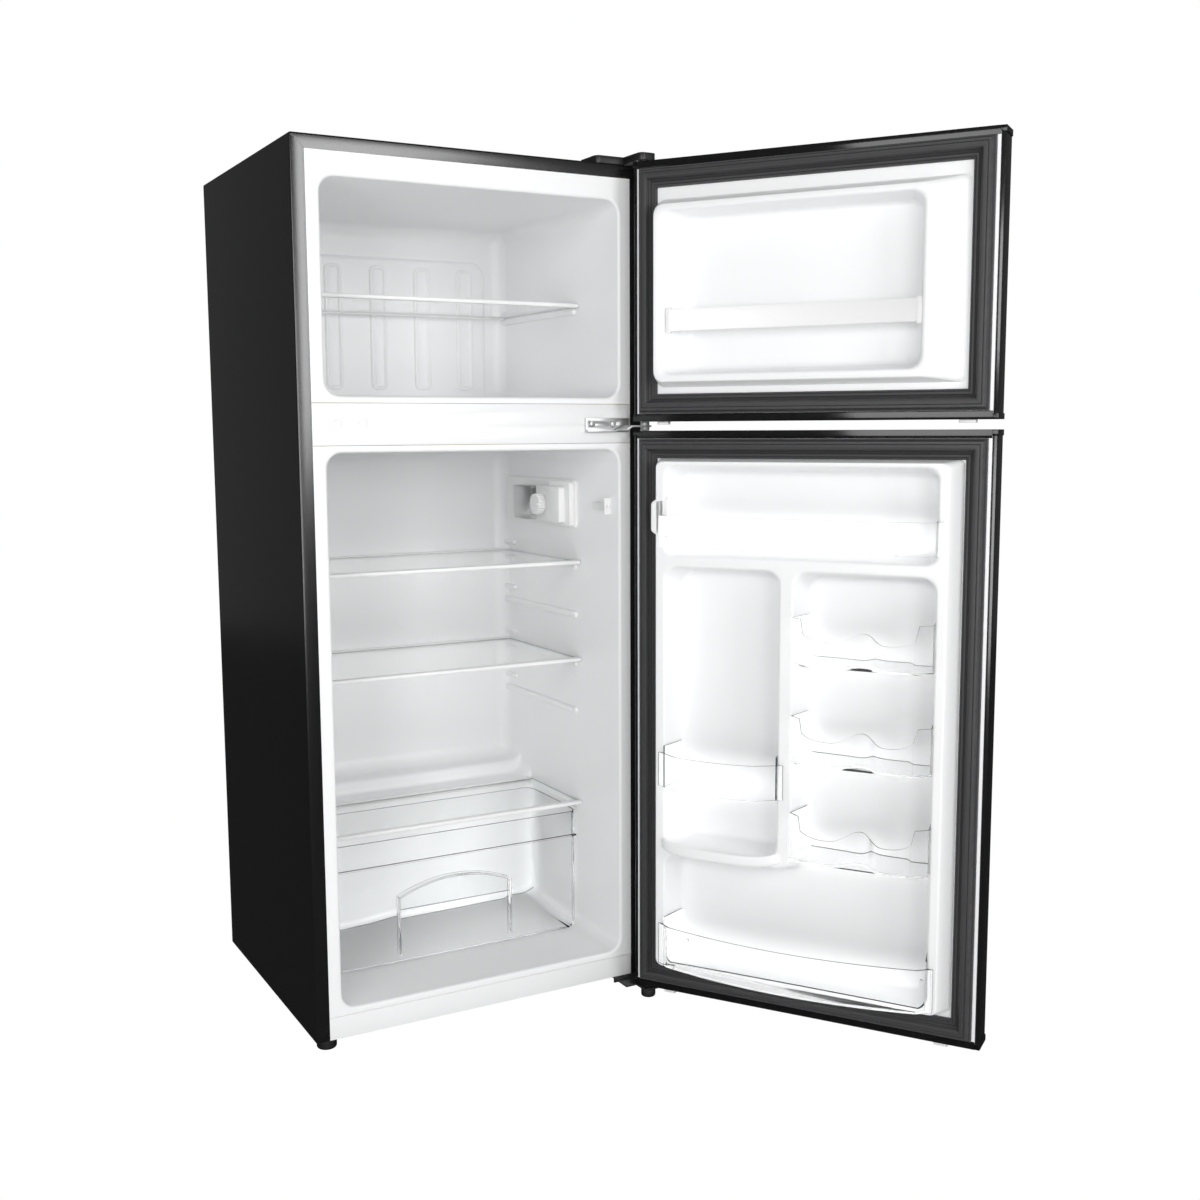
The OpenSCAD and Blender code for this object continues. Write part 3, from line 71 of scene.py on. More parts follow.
# %% [markdown]
# ## Two working frames, in millimetres
# Sheet metal and plastics are drawn in millimetres, from the corner of the cabinet or of a door. Two
# matrices carry such drawings to the row frame: one for the cabinet, and one for each door as it hangs at
# its stored angle. Both are read from the frame, so that a cabinet of another size moves every piece.

# %% Cabinet frame: x from the left side, y from the front flange, z from the floor
MM = 0.001
shell_low, shell_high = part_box("cabinet_shell")
CABINET = Matrix.Translation((shell_low.x, shell_low.y, 0)) @ Matrix.Scale(MM, 4)
cab_w = (shell_high.x - shell_low.x) / MM
cab_d = (shell_high.y - shell_low.y) / MM
base_z = shell_low.z / MM
top_z = shell_high.z / MM
print(f"cabinet {cab_w:.0f} x {cab_d:.0f} mm, from {base_z:.0f} to {top_z:.0f} mm over the floor")


# %% Door frames: x from the handle side, y out of the inner face, z from the door's bottom
def door_frame(body):
    """Matrix of an open door, and the door's height in millimetres."""
    joint = next(j for j in frame["joints"] if j["child"] == body)
    hinge = Vector(joint["pos_m"])
    hinge.z = 0
    opened = math.radians(-joint["range_deg"][0])
    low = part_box(body + "_bottom_cap")[0].z / MM
    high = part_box(body + "_top_cap")[1].z / MM
    hinge_x = (hinge.x - shell_low.x) / MM
    shift = Matrix.Translation((-hinge_x, HINGE_DEPTH, low))
    return Matrix.Translation(hinge) @ Matrix.Rotation(opened, 4, "Z") @ Matrix.Scale(MM, 4) @ shift, high - low


HINGE_DEPTH = 18
FREEZER_DOOR, freezer_door_h = door_frame("freezer_door")
FRIDGE_DOOR, fridge_door_h = door_frame("fridge_door")
print(f"doors {freezer_door_h:.0f} and {fridge_door_h:.0f} mm high")

# %% [markdown]
# ## Helpers for outlines and skins
# A vacuum-formed sheet has a radius at every corner, in plan and in section. So one helper rounds the
# corners of a line, another gives an upright rounded frame, and a loft joins a row of such frames into a
# smooth skin. Lofts keep the edge flow along each fold, where a boolean would leave ragged triangles.


# %% Lines and rings
def rounded_path(points, radii, steps=5, closed=False):
    """A polyline with its corners rounded. radii holds a radius for each point, 0 for a sharp one."""
    line = []
    count = len(points)
    for i, r in enumerate(radii):
        here = Vector(points[i])
        if r == 0 or (not closed and i in (0, count - 1)):
            line.append(here)
            continue
        back = (Vector(points[i - 1]) - here).normalized()
        ahead = (Vector(points[(i + 1) % count]) - here).normalized()
        half = back.angle(ahead) / 2
        centre = here + (back + ahead).normalized() * r / math.sin(half)
        first = here + back * r / math.tan(half) - centre
        last = here + ahead * r / math.tan(half) - centre
        start = math.atan2(first.y, first.x)
        turn = (math.atan2(last.y, last.x) - start + math.pi) % (2 * math.pi) - math.pi
        for k in range(steps + 1):
            a = start + turn * k / steps
            line.append(centre + Vector((r * math.cos(a), r * math.sin(a))))
    return line


def upright(rect, y, steps=6):
    """Ring of an upright rounded rectangle (x0, x1, z0, z1, radius) at depth y."""
    x0, x1, z0, z1, r = rect
    ring = []
    for cx, cz, start in ((x1 - r, z1 - r, 0), (x0 + r, z1 - r, 90), (x0 + r, z0 + r, 180), (x1 - r, z0 + r, 270)):
        for k in range(steps + 1):
            a = math.radians(start + 90 * k / steps)
            ring.append((cx + r * math.cos(a), y, cz + r * math.sin(a)))
    return ring


def shrink(rect, by, r=None):
    """A rounded rectangle moved in by the same distance on each side."""
    radius = max(rect[4] - by, 1) if r is None else r
    return (rect[0] + by, rect[1] - by, rect[2] + by, rect[3] - by, radius)


def between(a, b, t):
    """The rounded rectangle a share t of the way from a to b."""
    return tuple(p + (q - p) * t for p, q in zip(a, b))


class Shape:
    """Faces of one piece, in millimetres in the cabinet's or a door's frame."""

    def __init__(self):
        self.bm = bmesh.new()

    def loft(self, rings, closed=True):
        """Joins rings of equally many points, and returns their vertices."""
        loops = [[self.bm.verts.new(p) for p in ring] for ring in rings]
        for a, b in zip(loops, loops[1:]):
            for i in range(len(a) if closed else len(a) - 1):
                j = (i + 1) % len(a)
                self.bm.faces.new((a[i], a[j], b[j], b[i]))
        return loops

    def fill(self, loop):
        """Closes a ring of vertices with one face."""
        self.bm.faces.new(loop)

    def solid(self, rings):
        """A loft that is closed at both ends."""
        loops = self.loft(rings)
        self.fill(loops[0])
        self.fill(loops[-1])


print("helpers for lines, rings and lofts are ready")

# %% [markdown]
# ## From a shape to a piece
# Every piece ends the same way: its doubles are merged, its faces are turned outwards, its folds are shaded
# smooth up to an angle, and it rides on a body of the frame. A part whose construction shape is already
# right is copied from the frame, and only its knife edges are rolled over with a bevel, because a moulded
# or stamped edge always has a radius that catches the light.


# %% Finishing a piece
SHARP = math.radians(35)


def mesh_from(bm, name):
    """A mesh with a bmesh's faces, which frees the bmesh."""
    mesh = bpy.data.meshes.new(name)
    bm.to_mesh(mesh)
    bm.free()
    return mesh


def in_scene(name, data):
    """A new object in the scene."""
    obj = bpy.data.objects.new(name, data)
    bpy.context.scene.collection.objects.link(obj)
    return obj


def finish_mesh(mesh, name, body, materials, nodes, smooth=40):
    """Shades a mesh, hangs it on a body and hides the CAD nodes that it stands for."""
    for m in materials:
        mesh.materials.append(m)
    mesh.shade_smooth()
    mesh.set_sharp_from_angle(angle=math.radians(smooth))
    obj = in_scene(name, mesh)
    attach(obj, body)
    if nodes:
        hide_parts(*nodes)
    return obj


def piece(shape, name, place, body, materials, nodes=(), smooth=40, facing=None, wall=0):
    """Turns a Shape into a finished piece in the row frame. An open skin is turned to face a direction,
    and its back is laid wall millimetres behind it."""
    bm = shape.bm
    bmesh.ops.remove_doubles(bm, verts=bm.verts, dist=0.002)
    bmesh.ops.dissolve_degenerate(bm, edges=bm.edges, dist=0.001)
    bmesh.ops.recalc_face_normals(bm, faces=bm.faces)
    if facing and sum(f.calc_area() * f.normal.dot(Vector(facing)) for f in bm.faces) < 0:
        bmesh.ops.reverse_faces(bm, faces=bm.faces)
    if wall:
        bm.normal_update()
        bmesh.ops.solidify(bm, geom=bm.faces[:], thickness=wall)
    bmesh.ops.transform(bm, matrix=place, verts=bm.verts)
    return finish_mesh(mesh_from(bm, name), name, body, materials, nodes, smooth)


def applied(obj):
    """Replaces an object's modifiers by the mesh that they make."""
    graph = bpy.context.evaluated_depsgraph_get()
    mesh = bpy.data.meshes.new_from_object(obj.evaluated_get(graph))
    obj.modifiers.clear()
    obj.data = mesh
    return obj


def rolled(node, width, materials, segments=2, tint=None, edge=-1):
    """Copy of a CAD node with its sharp edges rolled over by width millimetres.
    tint(face) may pick another material for a face, and edge picks one for the rolled edges."""
    bm = bmesh.new()
    bm.from_mesh(frame["nodes"][node].data)
    bmesh.ops.remove_doubles(bm, verts=bm.verts, dist=0.00002)
    bmesh.ops.dissolve_limit(bm, angle_limit=math.radians(1), verts=bm.verts, edges=bm.edges)
    sharp = [e for e in bm.edges if len(e.link_faces) == 2 and e.calc_face_angle() > SHARP]
    for f in bm.faces:
        f.material_index = tint(f) if tint else 0
    if width:
        bmesh.ops.bevel(bm, geom=sharp, offset=width * MM, segments=segments, profile=0.5,
                        affect="EDGES", clamp_overlap=True, material=edge)
    bmesh.ops.remove_doubles(bm, verts=bm.verts, dist=0.00001)
    body = frame["nodes"][node]["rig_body"]
    finish_mesh(mesh_from(bm, node), node + "_finish", body, materials, [node])


print("every piece ends in finish_mesh")

# %% [markdown]
# ## Finishes
# Nearly everything here is one of three things: painted steel, moulded plastic or rubber. What tells them
# apart up close is texture of a millimetre or less, so three shader groups carry it: the pebbled skin of
# sprayed enamel, the faint flow marks of a moulding, and the dust and rubbing that years of use leave. They
# are groups because several materials share them with other values, and because each then stays short.


# %% Shader groups
def group(name, inputs, outputs):
    """An empty shader group with float inputs (name, default) and float outputs."""
    tree = bpy.data.node_groups.new(name, "ShaderNodeTree")
    for label, value in inputs:
        tree.interface.new_socket(label, in_out="INPUT", socket_type="NodeSocketFloat").default_value = value
    for label in outputs:
        tree.interface.new_socket(label, in_out="OUTPUT", socket_type="NodeSocketFloat")
    return tree, tree.nodes.new("NodeGroupInput"), tree.nodes.new("NodeGroupOutput")


def add(tree, kind, links=(), **values):
    """A node with plain properties in values and (input, socket) pairs in links."""
    node = tree.nodes.new(kind)
    for key, value in values.items():
        setattr(node, key, value)
    for key, source in links:
        if isinstance(source, bpy.types.NodeSocket):
            tree.links.new(source, node.inputs[key])
        else:
            node.inputs[key].default_value = source
    return node


def noise(tree, point, scale, detail=2.0):
    """Value of a noise with so many waves to the metre."""
    return add(tree, "ShaderNodeTexNoise", (("Vector", point), ("Scale", scale), ("Detail", detail))).outputs["Fac"]


def make_texture(name, waves, spread, detail, other_noise, blend):
    """Skin of a surface: a height that blend makes of two noises, and a roughness that follows the first."""
    tree, given, out = group(name, (("Waves", waves), ("Base roughness", 0.3), ("Spread", spread)),
                             ("Height", "Roughness"))
    point = add(tree, "ShaderNodeTexCoord").outputs["Object"]
    first = noise(tree, point, given.outputs["Waves"], detail)
    terms = blend(first, noise(tree, point, *other_noise))
    height = add(tree, "ShaderNodeMath", enumerate(terms), operation="MULTIPLY_ADD")
    span = add(tree, "ShaderNodeMath", ((0, first), (1, 0.5)), operation="SUBTRACT")
    rough = add(tree, "ShaderNodeMath", ((0, span.outputs[0]), (1, given.outputs["Spread"]),
                                         (2, given.outputs["Base roughness"])), operation="MULTIPLY_ADD")
    tree.links.new(height.outputs[0], out.inputs["Height"])
    tree.links.new(rough.outputs[0], out.inputs["Roughness"])
    return tree


def make_wear():
    """Mask of rubbed edges and a mask of settled dust, strongest on faces that look up."""
    tree, given, out = group("wear_and_dust", (("Rubbing", 0.5), ("Dust", 0.3)),
                             ("Rubbed", "Dusty"))
    shape = add(tree, "ShaderNodeNewGeometry")
    point = add(tree, "ShaderNodeTexCoord").outputs["Object"]
    edge = add(tree, "ShaderNodeMapRange", (("Value", shape.outputs["Pointiness"]), ("From Min", 0.52),
                                            ("From Max", 0.62), ("To Max", given.outputs["Rubbing"])))
    broken = add(tree, "ShaderNodeMath", ((0, edge.outputs[0]), (1, noise(tree, point, 90.0, 4.0))),
                 operation="MULTIPLY")
    up = add(tree, "ShaderNodeSeparateXYZ", ((0, shape.outputs["Normal"]),))
    facing = add(tree, "ShaderNodeMapRange", (("Value", up.outputs["Z"]), ("From Min", 0.4), ("From Max", 1.0),
                                              ("To Max", given.outputs["Dust"])))
    patchy = add(tree, "ShaderNodeMath", ((0, facing.outputs[0]), (1, noise(tree, point, 25.0, 5.0))),
                 operation="MULTIPLY")
    tree.links.new(broken.outputs[0], out.inputs["Rubbed"])
    tree.links.new(patchy.outputs[0], out.inputs["Dusty"])
    return tree


PEBBLE = make_texture("sprayed_pebble", 500.0, 0.1, 2.0, (35.0,), lambda fine, broad: (fine, broad, 0.15))
MOULDING = make_texture("moulding_marks", 60.0, 0.08, 3.0, (1400.0, 1.0), lambda broad, grain: (grain, 0.25, broad))
WEAR = make_wear()
print("shader groups:", PEBBLE.name, MOULDING.name, WEAR.name)

# %% [markdown]
# ## Opaque materials
# Each material is one Principled surface. A group gives its height and roughness, the wear group lays a
# lighter tone on rubbed edges and a grey film on faces that look up, and what is the same all over the
# surface is set straight on the shader.


# %% Opaque materials
DUST_COLOUR = (0.35, 0.34, 0.33)


def surface(name, colour, texture, waves, rough, spread, bump, rubbed=(0.5, 0.5, 0.5), rubbing=0.2, dust=0.1,
            **fixed):
    """A painted, moulded or rubber surface. bump is the depth of its texture in millimetres."""
    material = bpy.data.materials.new(name)
    material.use_nodes = True
    material.diffuse_color = (*colour, 1)
    tree = material.node_tree
    shader = tree.nodes["Principled BSDF"]
    tex = add(tree, "ShaderNodeGroup", (("Waves", waves), ("Base roughness", rough), ("Spread", spread)),
              node_tree=texture)
    wear = add(tree, "ShaderNodeGroup", (("Rubbing", rubbing), ("Dust", dust)), node_tree=WEAR)
    edge = add(tree, "ShaderNodeMix", ((0, wear.outputs["Rubbed"]), (6, (*colour, 1)), (7, (*rubbed, 1))),
               data_type="RGBA")
    film = add(tree, "ShaderNodeMix", ((0, wear.outputs["Dusty"]), (6, edge.outputs[2]), (7, (*DUST_COLOUR, 1))),
               data_type="RGBA")
    relief = add(tree, "ShaderNodeBump", (("Height", tex.outputs["Height"]), ("Strength", 1.0),
                                          ("Distance", bump * MM)))
    tree.links.new(film.outputs[2], shader.inputs["Base Color"])
    tree.links.new(tex.outputs["Roughness"], shader.inputs["Roughness"])
    tree.links.new(relief.outputs[0], shader.inputs["Normal"])
    for key, value in fixed.items():
        shader.inputs[key.replace("_", " ")].default_value = value
    return material


STEEL_BLACK = surface("black_enamel", (0.006, 0.006, 0.0065), PEBBLE, 420, 0.2, 0.1, 0.03,
                      rubbed=(0.1, 0.1, 0.1), rubbing=0.1, dust=0.0, Specular_IOR_Level=0.95)
BACK_BLACK = surface("back_sheet_black", (0.012, 0.012, 0.013), PEBBLE, 260, 0.55, 0.1, 0.03, dust=0.15)
CAP_BLACK = surface("cap_black", (0.004, 0.004, 0.0045), MOULDING, 40, 0.12, 0.06, 0.008,
                    rubbed=(0.1, 0.1, 0.1), dust=0.02)
PLASTIC_BLACK = surface("black_moulding", (0.008, 0.008, 0.009), MOULDING, 90, 0.38, 0.1, 0.02, dust=0.1)
RUBBER_BLACK = surface("black_rubber", (0.009, 0.009, 0.009), MOULDING, 120, 0.6, 0.15, 0.03, dust=0.2)
LINER = surface("liner_white", (0.93, 0.935, 0.94), MOULDING, 18, 0.34, 0.06, 0.02, rubbed=(0.95, 0.95, 0.95),
                rubbing=0.1, dust=0.0)
RAIL = surface("rail_white", (0.9, 0.905, 0.91), PEBBLE, 300, 0.3, 0.08, 0.02, rubbed=(0.9, 0.9, 0.9), dust=0.0)
PART_WHITE = surface("moulded_white", (0.93, 0.93, 0.93), MOULDING, 50, 0.3, 0.06, 0.01, rubbed=(0.95, 0.95, 0.95),
                     dust=0.0)
GASKET = surface("gasket_grey", (0.045, 0.045, 0.047), MOULDING, 70, 0.5, 0.15, 0.03, rubbed=(0.16, 0.16, 0.165),
                 rubbing=0.5, dust=0.03, Specular_IOR_Level=0.45)
ZINC = surface("zinc_plate", (0.5, 0.505, 0.51), PEBBLE, 240, 0.35, 0.25, 0.05, rubbed=(0.85, 0.85, 0.85), dust=0.05,
               Metallic=0.7)
DARK_ZINC = surface("dark_zinc_plate", (0.09, 0.09, 0.092), PEBBLE, 240, 0.3, 0.2, 0.04, rubbed=(0.4, 0.4, 0.4),
                    dust=0.05, Metallic=0.8)
ALUMINIUM = surface("evaporator_plate", (0.72, 0.73, 0.75), PEBBLE, 180, 0.35, 0.1, 0.02, dust=0.05, Metallic=1.0)
MACHINE = surface("machine_black", (0.007, 0.007, 0.008), PEBBLE, 150, 0.3, 0.12, 0.05, dust=0.25)
COPPER = surface("copper", (0.72, 0.33, 0.17), PEBBLE, 200, 0.3, 0.2, 0.02, rubbed=(0.9, 0.5, 0.3), dust=0.1,
                 Metallic=1.0)
FOAM = surface("foam", (0.62, 0.5, 0.25), MOULDING, 300, 0.9, 0.05, 0.3, dust=0.0)
print("opaque materials:", len(bpy.data.materials))

# %% [markdown]
# ## Clear plastics and glass
# Clear polystyrene bends light at every edge, so a clear bin reads as a drawing of its own rims: the walls
# almost vanish, and the rims turn dark grey, since the light that enters a rim leaves it sideways. Both are
# Principled glass with an index near that of air, so that a wall doesn't darken what stands behind it, and a
# thin coat gives back some of the gloss. Shadow rays pass through, or a clear shelf would throw a solid
# shadow. That dark grey is painted shade: the styrene rims get a nearly black material of their own. The
# guard's flutes get a mostly white one, a painted highlight for the light those ribs catch.


# %% Clear materials
CLEAR_WAVES = 25


def clear(name, colour, rough, shade, coat, ior=1.05, through=1.0):
    """Glass or clear plastic under a coat, whose body hardly bends light. shade is what its shadow lets pass."""
    material = bpy.data.materials.new(name)
    material.use_nodes = True
    material.diffuse_color = (*colour, 0.4)
    tree = material.node_tree
    shader = tree.nodes["Principled BSDF"]
    tex = add(tree, "ShaderNodeGroup", (("Waves", CLEAR_WAVES), ("Base roughness", rough), ("Spread", rough)),
              node_tree=MOULDING)
    for key, value in (("Base Color", (*colour, 1)), ("Transmission Weight", through), ("IOR", ior),
                       ("Coat Weight", coat), ("Coat Roughness", rough), ("Coat IOR", 1.5)):
        shader.inputs[key].default_value = value
    tree.links.new(tex.outputs["Roughness"], shader.inputs["Roughness"])
    path = add(tree, "ShaderNodeLightPath")
    shadow = add(tree, "ShaderNodeBsdfTransparent", (("Color", (shade, shade, shade, 1)),))
    both = add(tree, "ShaderNodeMixShader", ((0, path.outputs["Is Shadow Ray"]), (1, shader.outputs[0]),
                                             (2, shadow.outputs[0])))
    tree.links.new(both.outputs[0], tree.nodes["Material Output"].inputs["Surface"])
    return material


CLEAR = clear("clear_styrene", (0.965, 0.97, 0.97), 0.03, 0.99, 0.06)
# The rims' near black is painted shade, standing in for the dark that a clear rim shows edge-on
CLEAR_RIM_PAINTED_SHADE = clear("clear_styrene_rim_painted_shade", (0.02, 0.021, 0.022), 0.06, 0.85, 0.1)
# The flutes' half-opaque white is a painted highlight, standing in for the light that the clear ribs catch
FLUTE_PAINTED_HIGHLIGHT = clear("clear_styrene_flute_painted_highlight", (0.97, 0.97, 0.97), 0.2, 0.95, 0.5, through=0.4)
SHELF_GLASS = clear("shelf_glass", (0.98, 0.99, 0.985), 0.01, 0.98, 0.3)
GLASS_RIM = clear("shelf_glass_rim", (0.35, 0.42, 0.41), 0.1, 0.6, 0.3)
LAMP = clear("lamp_diffuser", (0.95, 0.955, 0.955), 0.35, 0.9, 0.3, ior=1.3)
print("clear materials:", CLEAR.name, CLEAR_RIM_PAINTED_SHADE.name, FLUTE_PAINTED_HIGHLIGHT.name, SHELF_GLASS.name, GLASS_RIM.name, LAMP.name)

# %% [markdown]
# ## Rows of the same form
# The tubs' beads and runners repeat at one pitch. A Geometry Nodes tree makes such a row from one form:
# points on a line, the form on each point, the copies made real, and a material. Its inputs are the count,
# the step and the material, so that one tree serves every row in both rooms.


# %% Geometry Nodes tree: copies in a row
def make_row_tree():
    tree = bpy.data.node_groups.new("copies_in_a_row", "GeometryNodeTree")
    tree.is_modifier = True
    face = tree.interface
    face.new_socket("Geometry", in_out="INPUT", socket_type="NodeSocketGeometry")
    face.new_socket("Count", in_out="INPUT", socket_type="NodeSocketInt").default_value = 2
    face.new_socket("Step", in_out="INPUT", socket_type="NodeSocketVector")
    face.new_socket("Material", in_out="INPUT", socket_type="NodeSocketMaterial")
    face.new_socket("Geometry", in_out="OUTPUT", socket_type="NodeSocketGeometry")
    given = tree.nodes.new("NodeGroupInput")
    out = tree.nodes.new("NodeGroupOutput")
    line = add(tree, "GeometryNodeMeshLine", (("Count", given.outputs["Count"]), ("Offset", given.outputs["Step"])),
               mode="OFFSET")
    copies = add(tree, "GeometryNodeInstanceOnPoints", (("Points", line.outputs[0]),
                                                        ("Instance", given.outputs["Geometry"])))
    real = add(tree, "GeometryNodeRealizeInstances", (("Geometry", copies.outputs[0]),))
    painted = add(tree, "GeometryNodeSetMaterial", (("Geometry", real.outputs[0]),
                                                    ("Material", given.outputs["Material"])))
    tree.links.new(painted.outputs[0], out.inputs["Geometry"])
    return tree


ROW_TREE = make_row_tree()


def row(shape, name, place, count, step, material):
    """Mesh of count copies of a Shape, each moved on by step millimetres in its own frame."""
    bm = shape.bm
    bmesh.ops.remove_doubles(bm, verts=bm.verts, dist=0.002)
    bmesh.ops.recalc_face_normals(bm, faces=bm.faces)
    bmesh.ops.transform(bm, matrix=place, verts=bm.verts)
    obj = in_scene(name, mesh_from(bm, name))
    tree_mod = obj.modifiers.new("row", "NODES")
    tree_mod.node_group = ROW_TREE
    ids = {s.name: s.identifier for s in ROW_TREE.interface.items_tree if s.in_out == "INPUT"}
    tree_mod[ids["Count"]] = count
    tree_mod[ids["Step"]] = place.to_3x3() @ Vector(step)
    tree_mod[ids["Material"]] = material
    bpy.context.view_layer.update()
    return applied(obj)


def joined(target, others):
    """Adds the meshes of other objects to a piece, and removes those objects."""
    bm = bmesh.new()
    bm.from_mesh(target.data)
    for o in others:
        bm.from_mesh(o.data)
        bpy.data.objects.remove(o)
    bm.to_mesh(target.data)
    bm.free()
    target.data.shade_smooth()
    target.data.set_sharp_from_angle(angle=math.radians(40))


print("tree:", ROW_TREE.name)

# %% [markdown]
# ## The steel wrap
# The sides and the top of the cabinet are one painted sheet, folded into an upside-down U. Its front edge is
# bent inwards into a narrow flange, mitred at both top corners. It is drawn as a loft: one section, from the
# back edge round the bend to the flange's inner edge, carried along the U.

# %% Wrap with a folded, mitred flange
SHEET = 1.0
BEND = 3.0
FLANGE = 22
SEAM_W, SEAM_OUT, SEAM_IN = 0.7, 0.06, 0.3
wrap_section = rounded_path([(0, cab_d), (0, 0), (FLANGE, 0), (FLANGE, SHEET), (SHEET, SHEET), (SHEET, cab_d)],
                            [0, BEND, 0.3, 0.3, BEND - SHEET, 0], steps=5)


def wrap_ring(inset, y):
    """Upside-down U of the wrap, moved in by inset."""
    left, right, high = inset, cab_w - inset, top_z - inset
    r = max(BEND - inset, 0.05)
    path = rounded_path([(left, base_z), (left, high), (right, high), (right, base_z)], [0, r, r, 0], steps=3)
    return [(p.x, y, p.y) for p in path]


wrap = Shape()
loops = wrap.loft([wrap_ring(p.x, p.y) for p in wrap_section + wrap_section[:1]], closed=False)
for end in (0, -1):
    wrap.fill([loop[end] for loop in loops[:-1]])
wrap_piece = piece(wrap, "steel_wrap", CABINET, "cabinet", [STEEL_BLACK], ["cabinet_shell"], smooth=30)
seams = Shape()
for x, way in ((0, 1), (cab_w, -1)):
    start = Vector((x + way * BEND, top_z - BEND))
    end = Vector((x + way * FLANGE, top_z - FLANGE))
    half = (end - start).normalized().orthogonal() * SEAM_W / 2
    corners = (start + half, end + half, end - half, start - half)
    seams.solid([[(p.x, y, p.y) for p in corners] for y in (-SEAM_OUT, SEAM_IN)])
piece(seams, "mitre_seams", CABINET, "cabinet", [CAP_BLACK])
print("wrap:", len(wrap_piece.data.polygons), "faces")

# %% [markdown]
# ## The cabinet's two tubs
# Each compartment is one sheet of white plastic, drawn into a mould while it was hot, with a radius at every
# edge. A loft of rounded frames from the flange over the lip to the back wall gives those radii directly.
# The lower tub has a step at the back, over the compressor: there the frames' lower edges follow a rounded
# stair while their upper edges stay where they are.

# %% Sizes of the tubs
SIDE_WALL = 44
LINER_T = 2
SHEET_WALL = 1.4
SEAM = 0.7
LINER_R = 24
LIP_R = 5
BACK_R = 26
shelf_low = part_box("freezer_shelf_glass")[0].z / MM
TOP_WALL, BACK_WALL = 58, 58
FREEZER_H, MULLION_H, FRIDGE_H = 322, 86, 877
freezer_top = top_z - TOP_WALL
freezer_floor = freezer_top - FREEZER_H
fridge_top = freezer_floor - MULLION_H
fridge_floor = fridge_top - FRIDGE_H
rail_low, rail_high = (v.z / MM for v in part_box("mullion_rail"))
room_back = cab_d - BACK_WALL
sill_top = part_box("sill_rail")[1].z / MM
STEP_Y, STEP_Z = 345, base_z + 285
STEP_RUN, STEP_RISE = 45, 25


def tub(floor, ceiling, low, high, stair):
    """A tub from its flange to its back wall. stair is the rounded path (y, z) of the floor."""
    shape = Shape()
    opening = (SIDE_WALL, cab_w - SIDE_WALL, floor, ceiling, LINER_R)
    outer = (FLANGE, cab_w - FLANGE, low, high, 0.01)
    rings = [upright(outer, LINER_T), upright(outer, 0), upright(shrink(opening, -LIP_R - 2), 0)]
    for p in rounded_path([(-LIP_R, 0), (0, 0), (0, LIP_R)], [0, LIP_R, 0], steps=5):
        rings.append(upright(shrink(opening, p.x), p.y))
    for p in stair:
        rings.append(upright((opening[0], opening[1], p.y, ceiling, LINER_R), p.x))
    last = (opening[0], opening[1], stair[-1].y, ceiling, LINER_R)
    back_line = [(0, room_back - BACK_R), (0, room_back), (BACK_R, room_back)]
    for p in rounded_path(back_line, [0, BACK_R, 0], steps=7)[1:]:
        rings.append(upright(shrink(last, p.x, r=max(LINER_R - p.x, 8)), p.y))
    rings.append(upright(shrink(last, BACK_R + 4, r=8), room_back))
    loops = shape.loft(rings)
    shape.fill(loops[-1])
    return shape


def sheet(shape, name, place, body, facing, nodes=()):
    """A skin of white plastic, one sheet thick, whose show face looks along y by facing."""
    return piece(shape, name, place, body, [LINER], nodes, facing=(0, facing, 0), wall=SHEET_WALL)


def rib(y0, y1, height, out, x, facing):
    """A rounded runner on a side wall, at height 0, from y0 to y1. facing is 1 on the left wall."""
    shape = Shape()
    outline = rounded_path([(y0, 0), (y1, 0), (y1, -height), (y0, -height)], [height * 0.49] * 4, closed=True)
    rings = []
    for w, inset in ((-1, 0), (out - 2.5, 0), (out - 0.8, 0.7), (out, 2.5)):
        mid = Vector(((y0 + y1) / 2, -height / 2))
        scale = Vector((1 - 2 * inset / (y1 - y0), 1 - 2 * inset / height))
        ring = [mid + (p - mid) * scale for p in outline]
        rings.append([(x + facing * w, p.x, p.y) for p in ring])
    shape.solid(rings)
    return shape


def moved(place, x, y, z):
    """A working frame whose origin is moved by millimetres."""
    return place @ Matrix.Translation((x, y, z))


# %% Upper tub with its embossed back wall
flat_stair = [Vector((LIP_R, freezer_floor)), Vector((room_back - BACK_R, freezer_floor))]
upper_tub = tub(freezer_floor, freezer_top, rail_high + SEAM, top_z - FLANGE, flat_stair)
PANEL = (SIDE_WALL + 38, cab_w - SIDE_WALL - 38, freezer_floor - 8, freezer_top - 58, 26)
panel = Shape()
panel_rings = [upright(shrink(PANEL, d), room_back - out)
               for d, out in ((-2, -1), (0, 0.6), (2, 3), (4.5, 4), (8, 4))]
panel_loops = panel.loft(panel_rings)
panel.fill(panel_loops[-1])
BEADS, BEAD_W, BEAD_H = 5, 34, 228
bead_step = (PANEL[1] - PANEL[0]) / BEADS
bead_rect = (PANEL[0] + bead_step / 2 - BEAD_W / 2, PANEL[0] + bead_step / 2 + BEAD_W / 2, 22, 22 + BEAD_H, 12)
bead = Shape()
bead.solid([upright(shrink(bead_rect, d), room_back - 4 - out) for d, out in
            ((0, -1), (0.3, 0.6), (1.5, 1.8), (4, 2.4), (6, 1.8), (7.5, 0.4), (9, 0.1))])
beads = row(bead, "beads", moved(CABINET, 0, 0, freezer_floor), BEADS, (bead_step, 0, 0), LINER)
freezer_runners = []
shelf_front = (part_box("freezer_shelf_trim")[0].y - shell_low.y) / MM
RIB_H, RIB_OUT, RIB_GAP, TRIM_D = 12, 6, 0.3, 14
for x, facing in ((SIDE_WALL, 1), (cab_w - SIDE_WALL, -1)):
    level = moved(CABINET, 0, 0, shelf_low - RIB_GAP)
    freezer_runners.append(row(rib(shelf_front + TRIM_D + 2, room_back, RIB_H, RIB_OUT, x, facing), "runner", level,
                               1, (0, 0, 0), LINER))
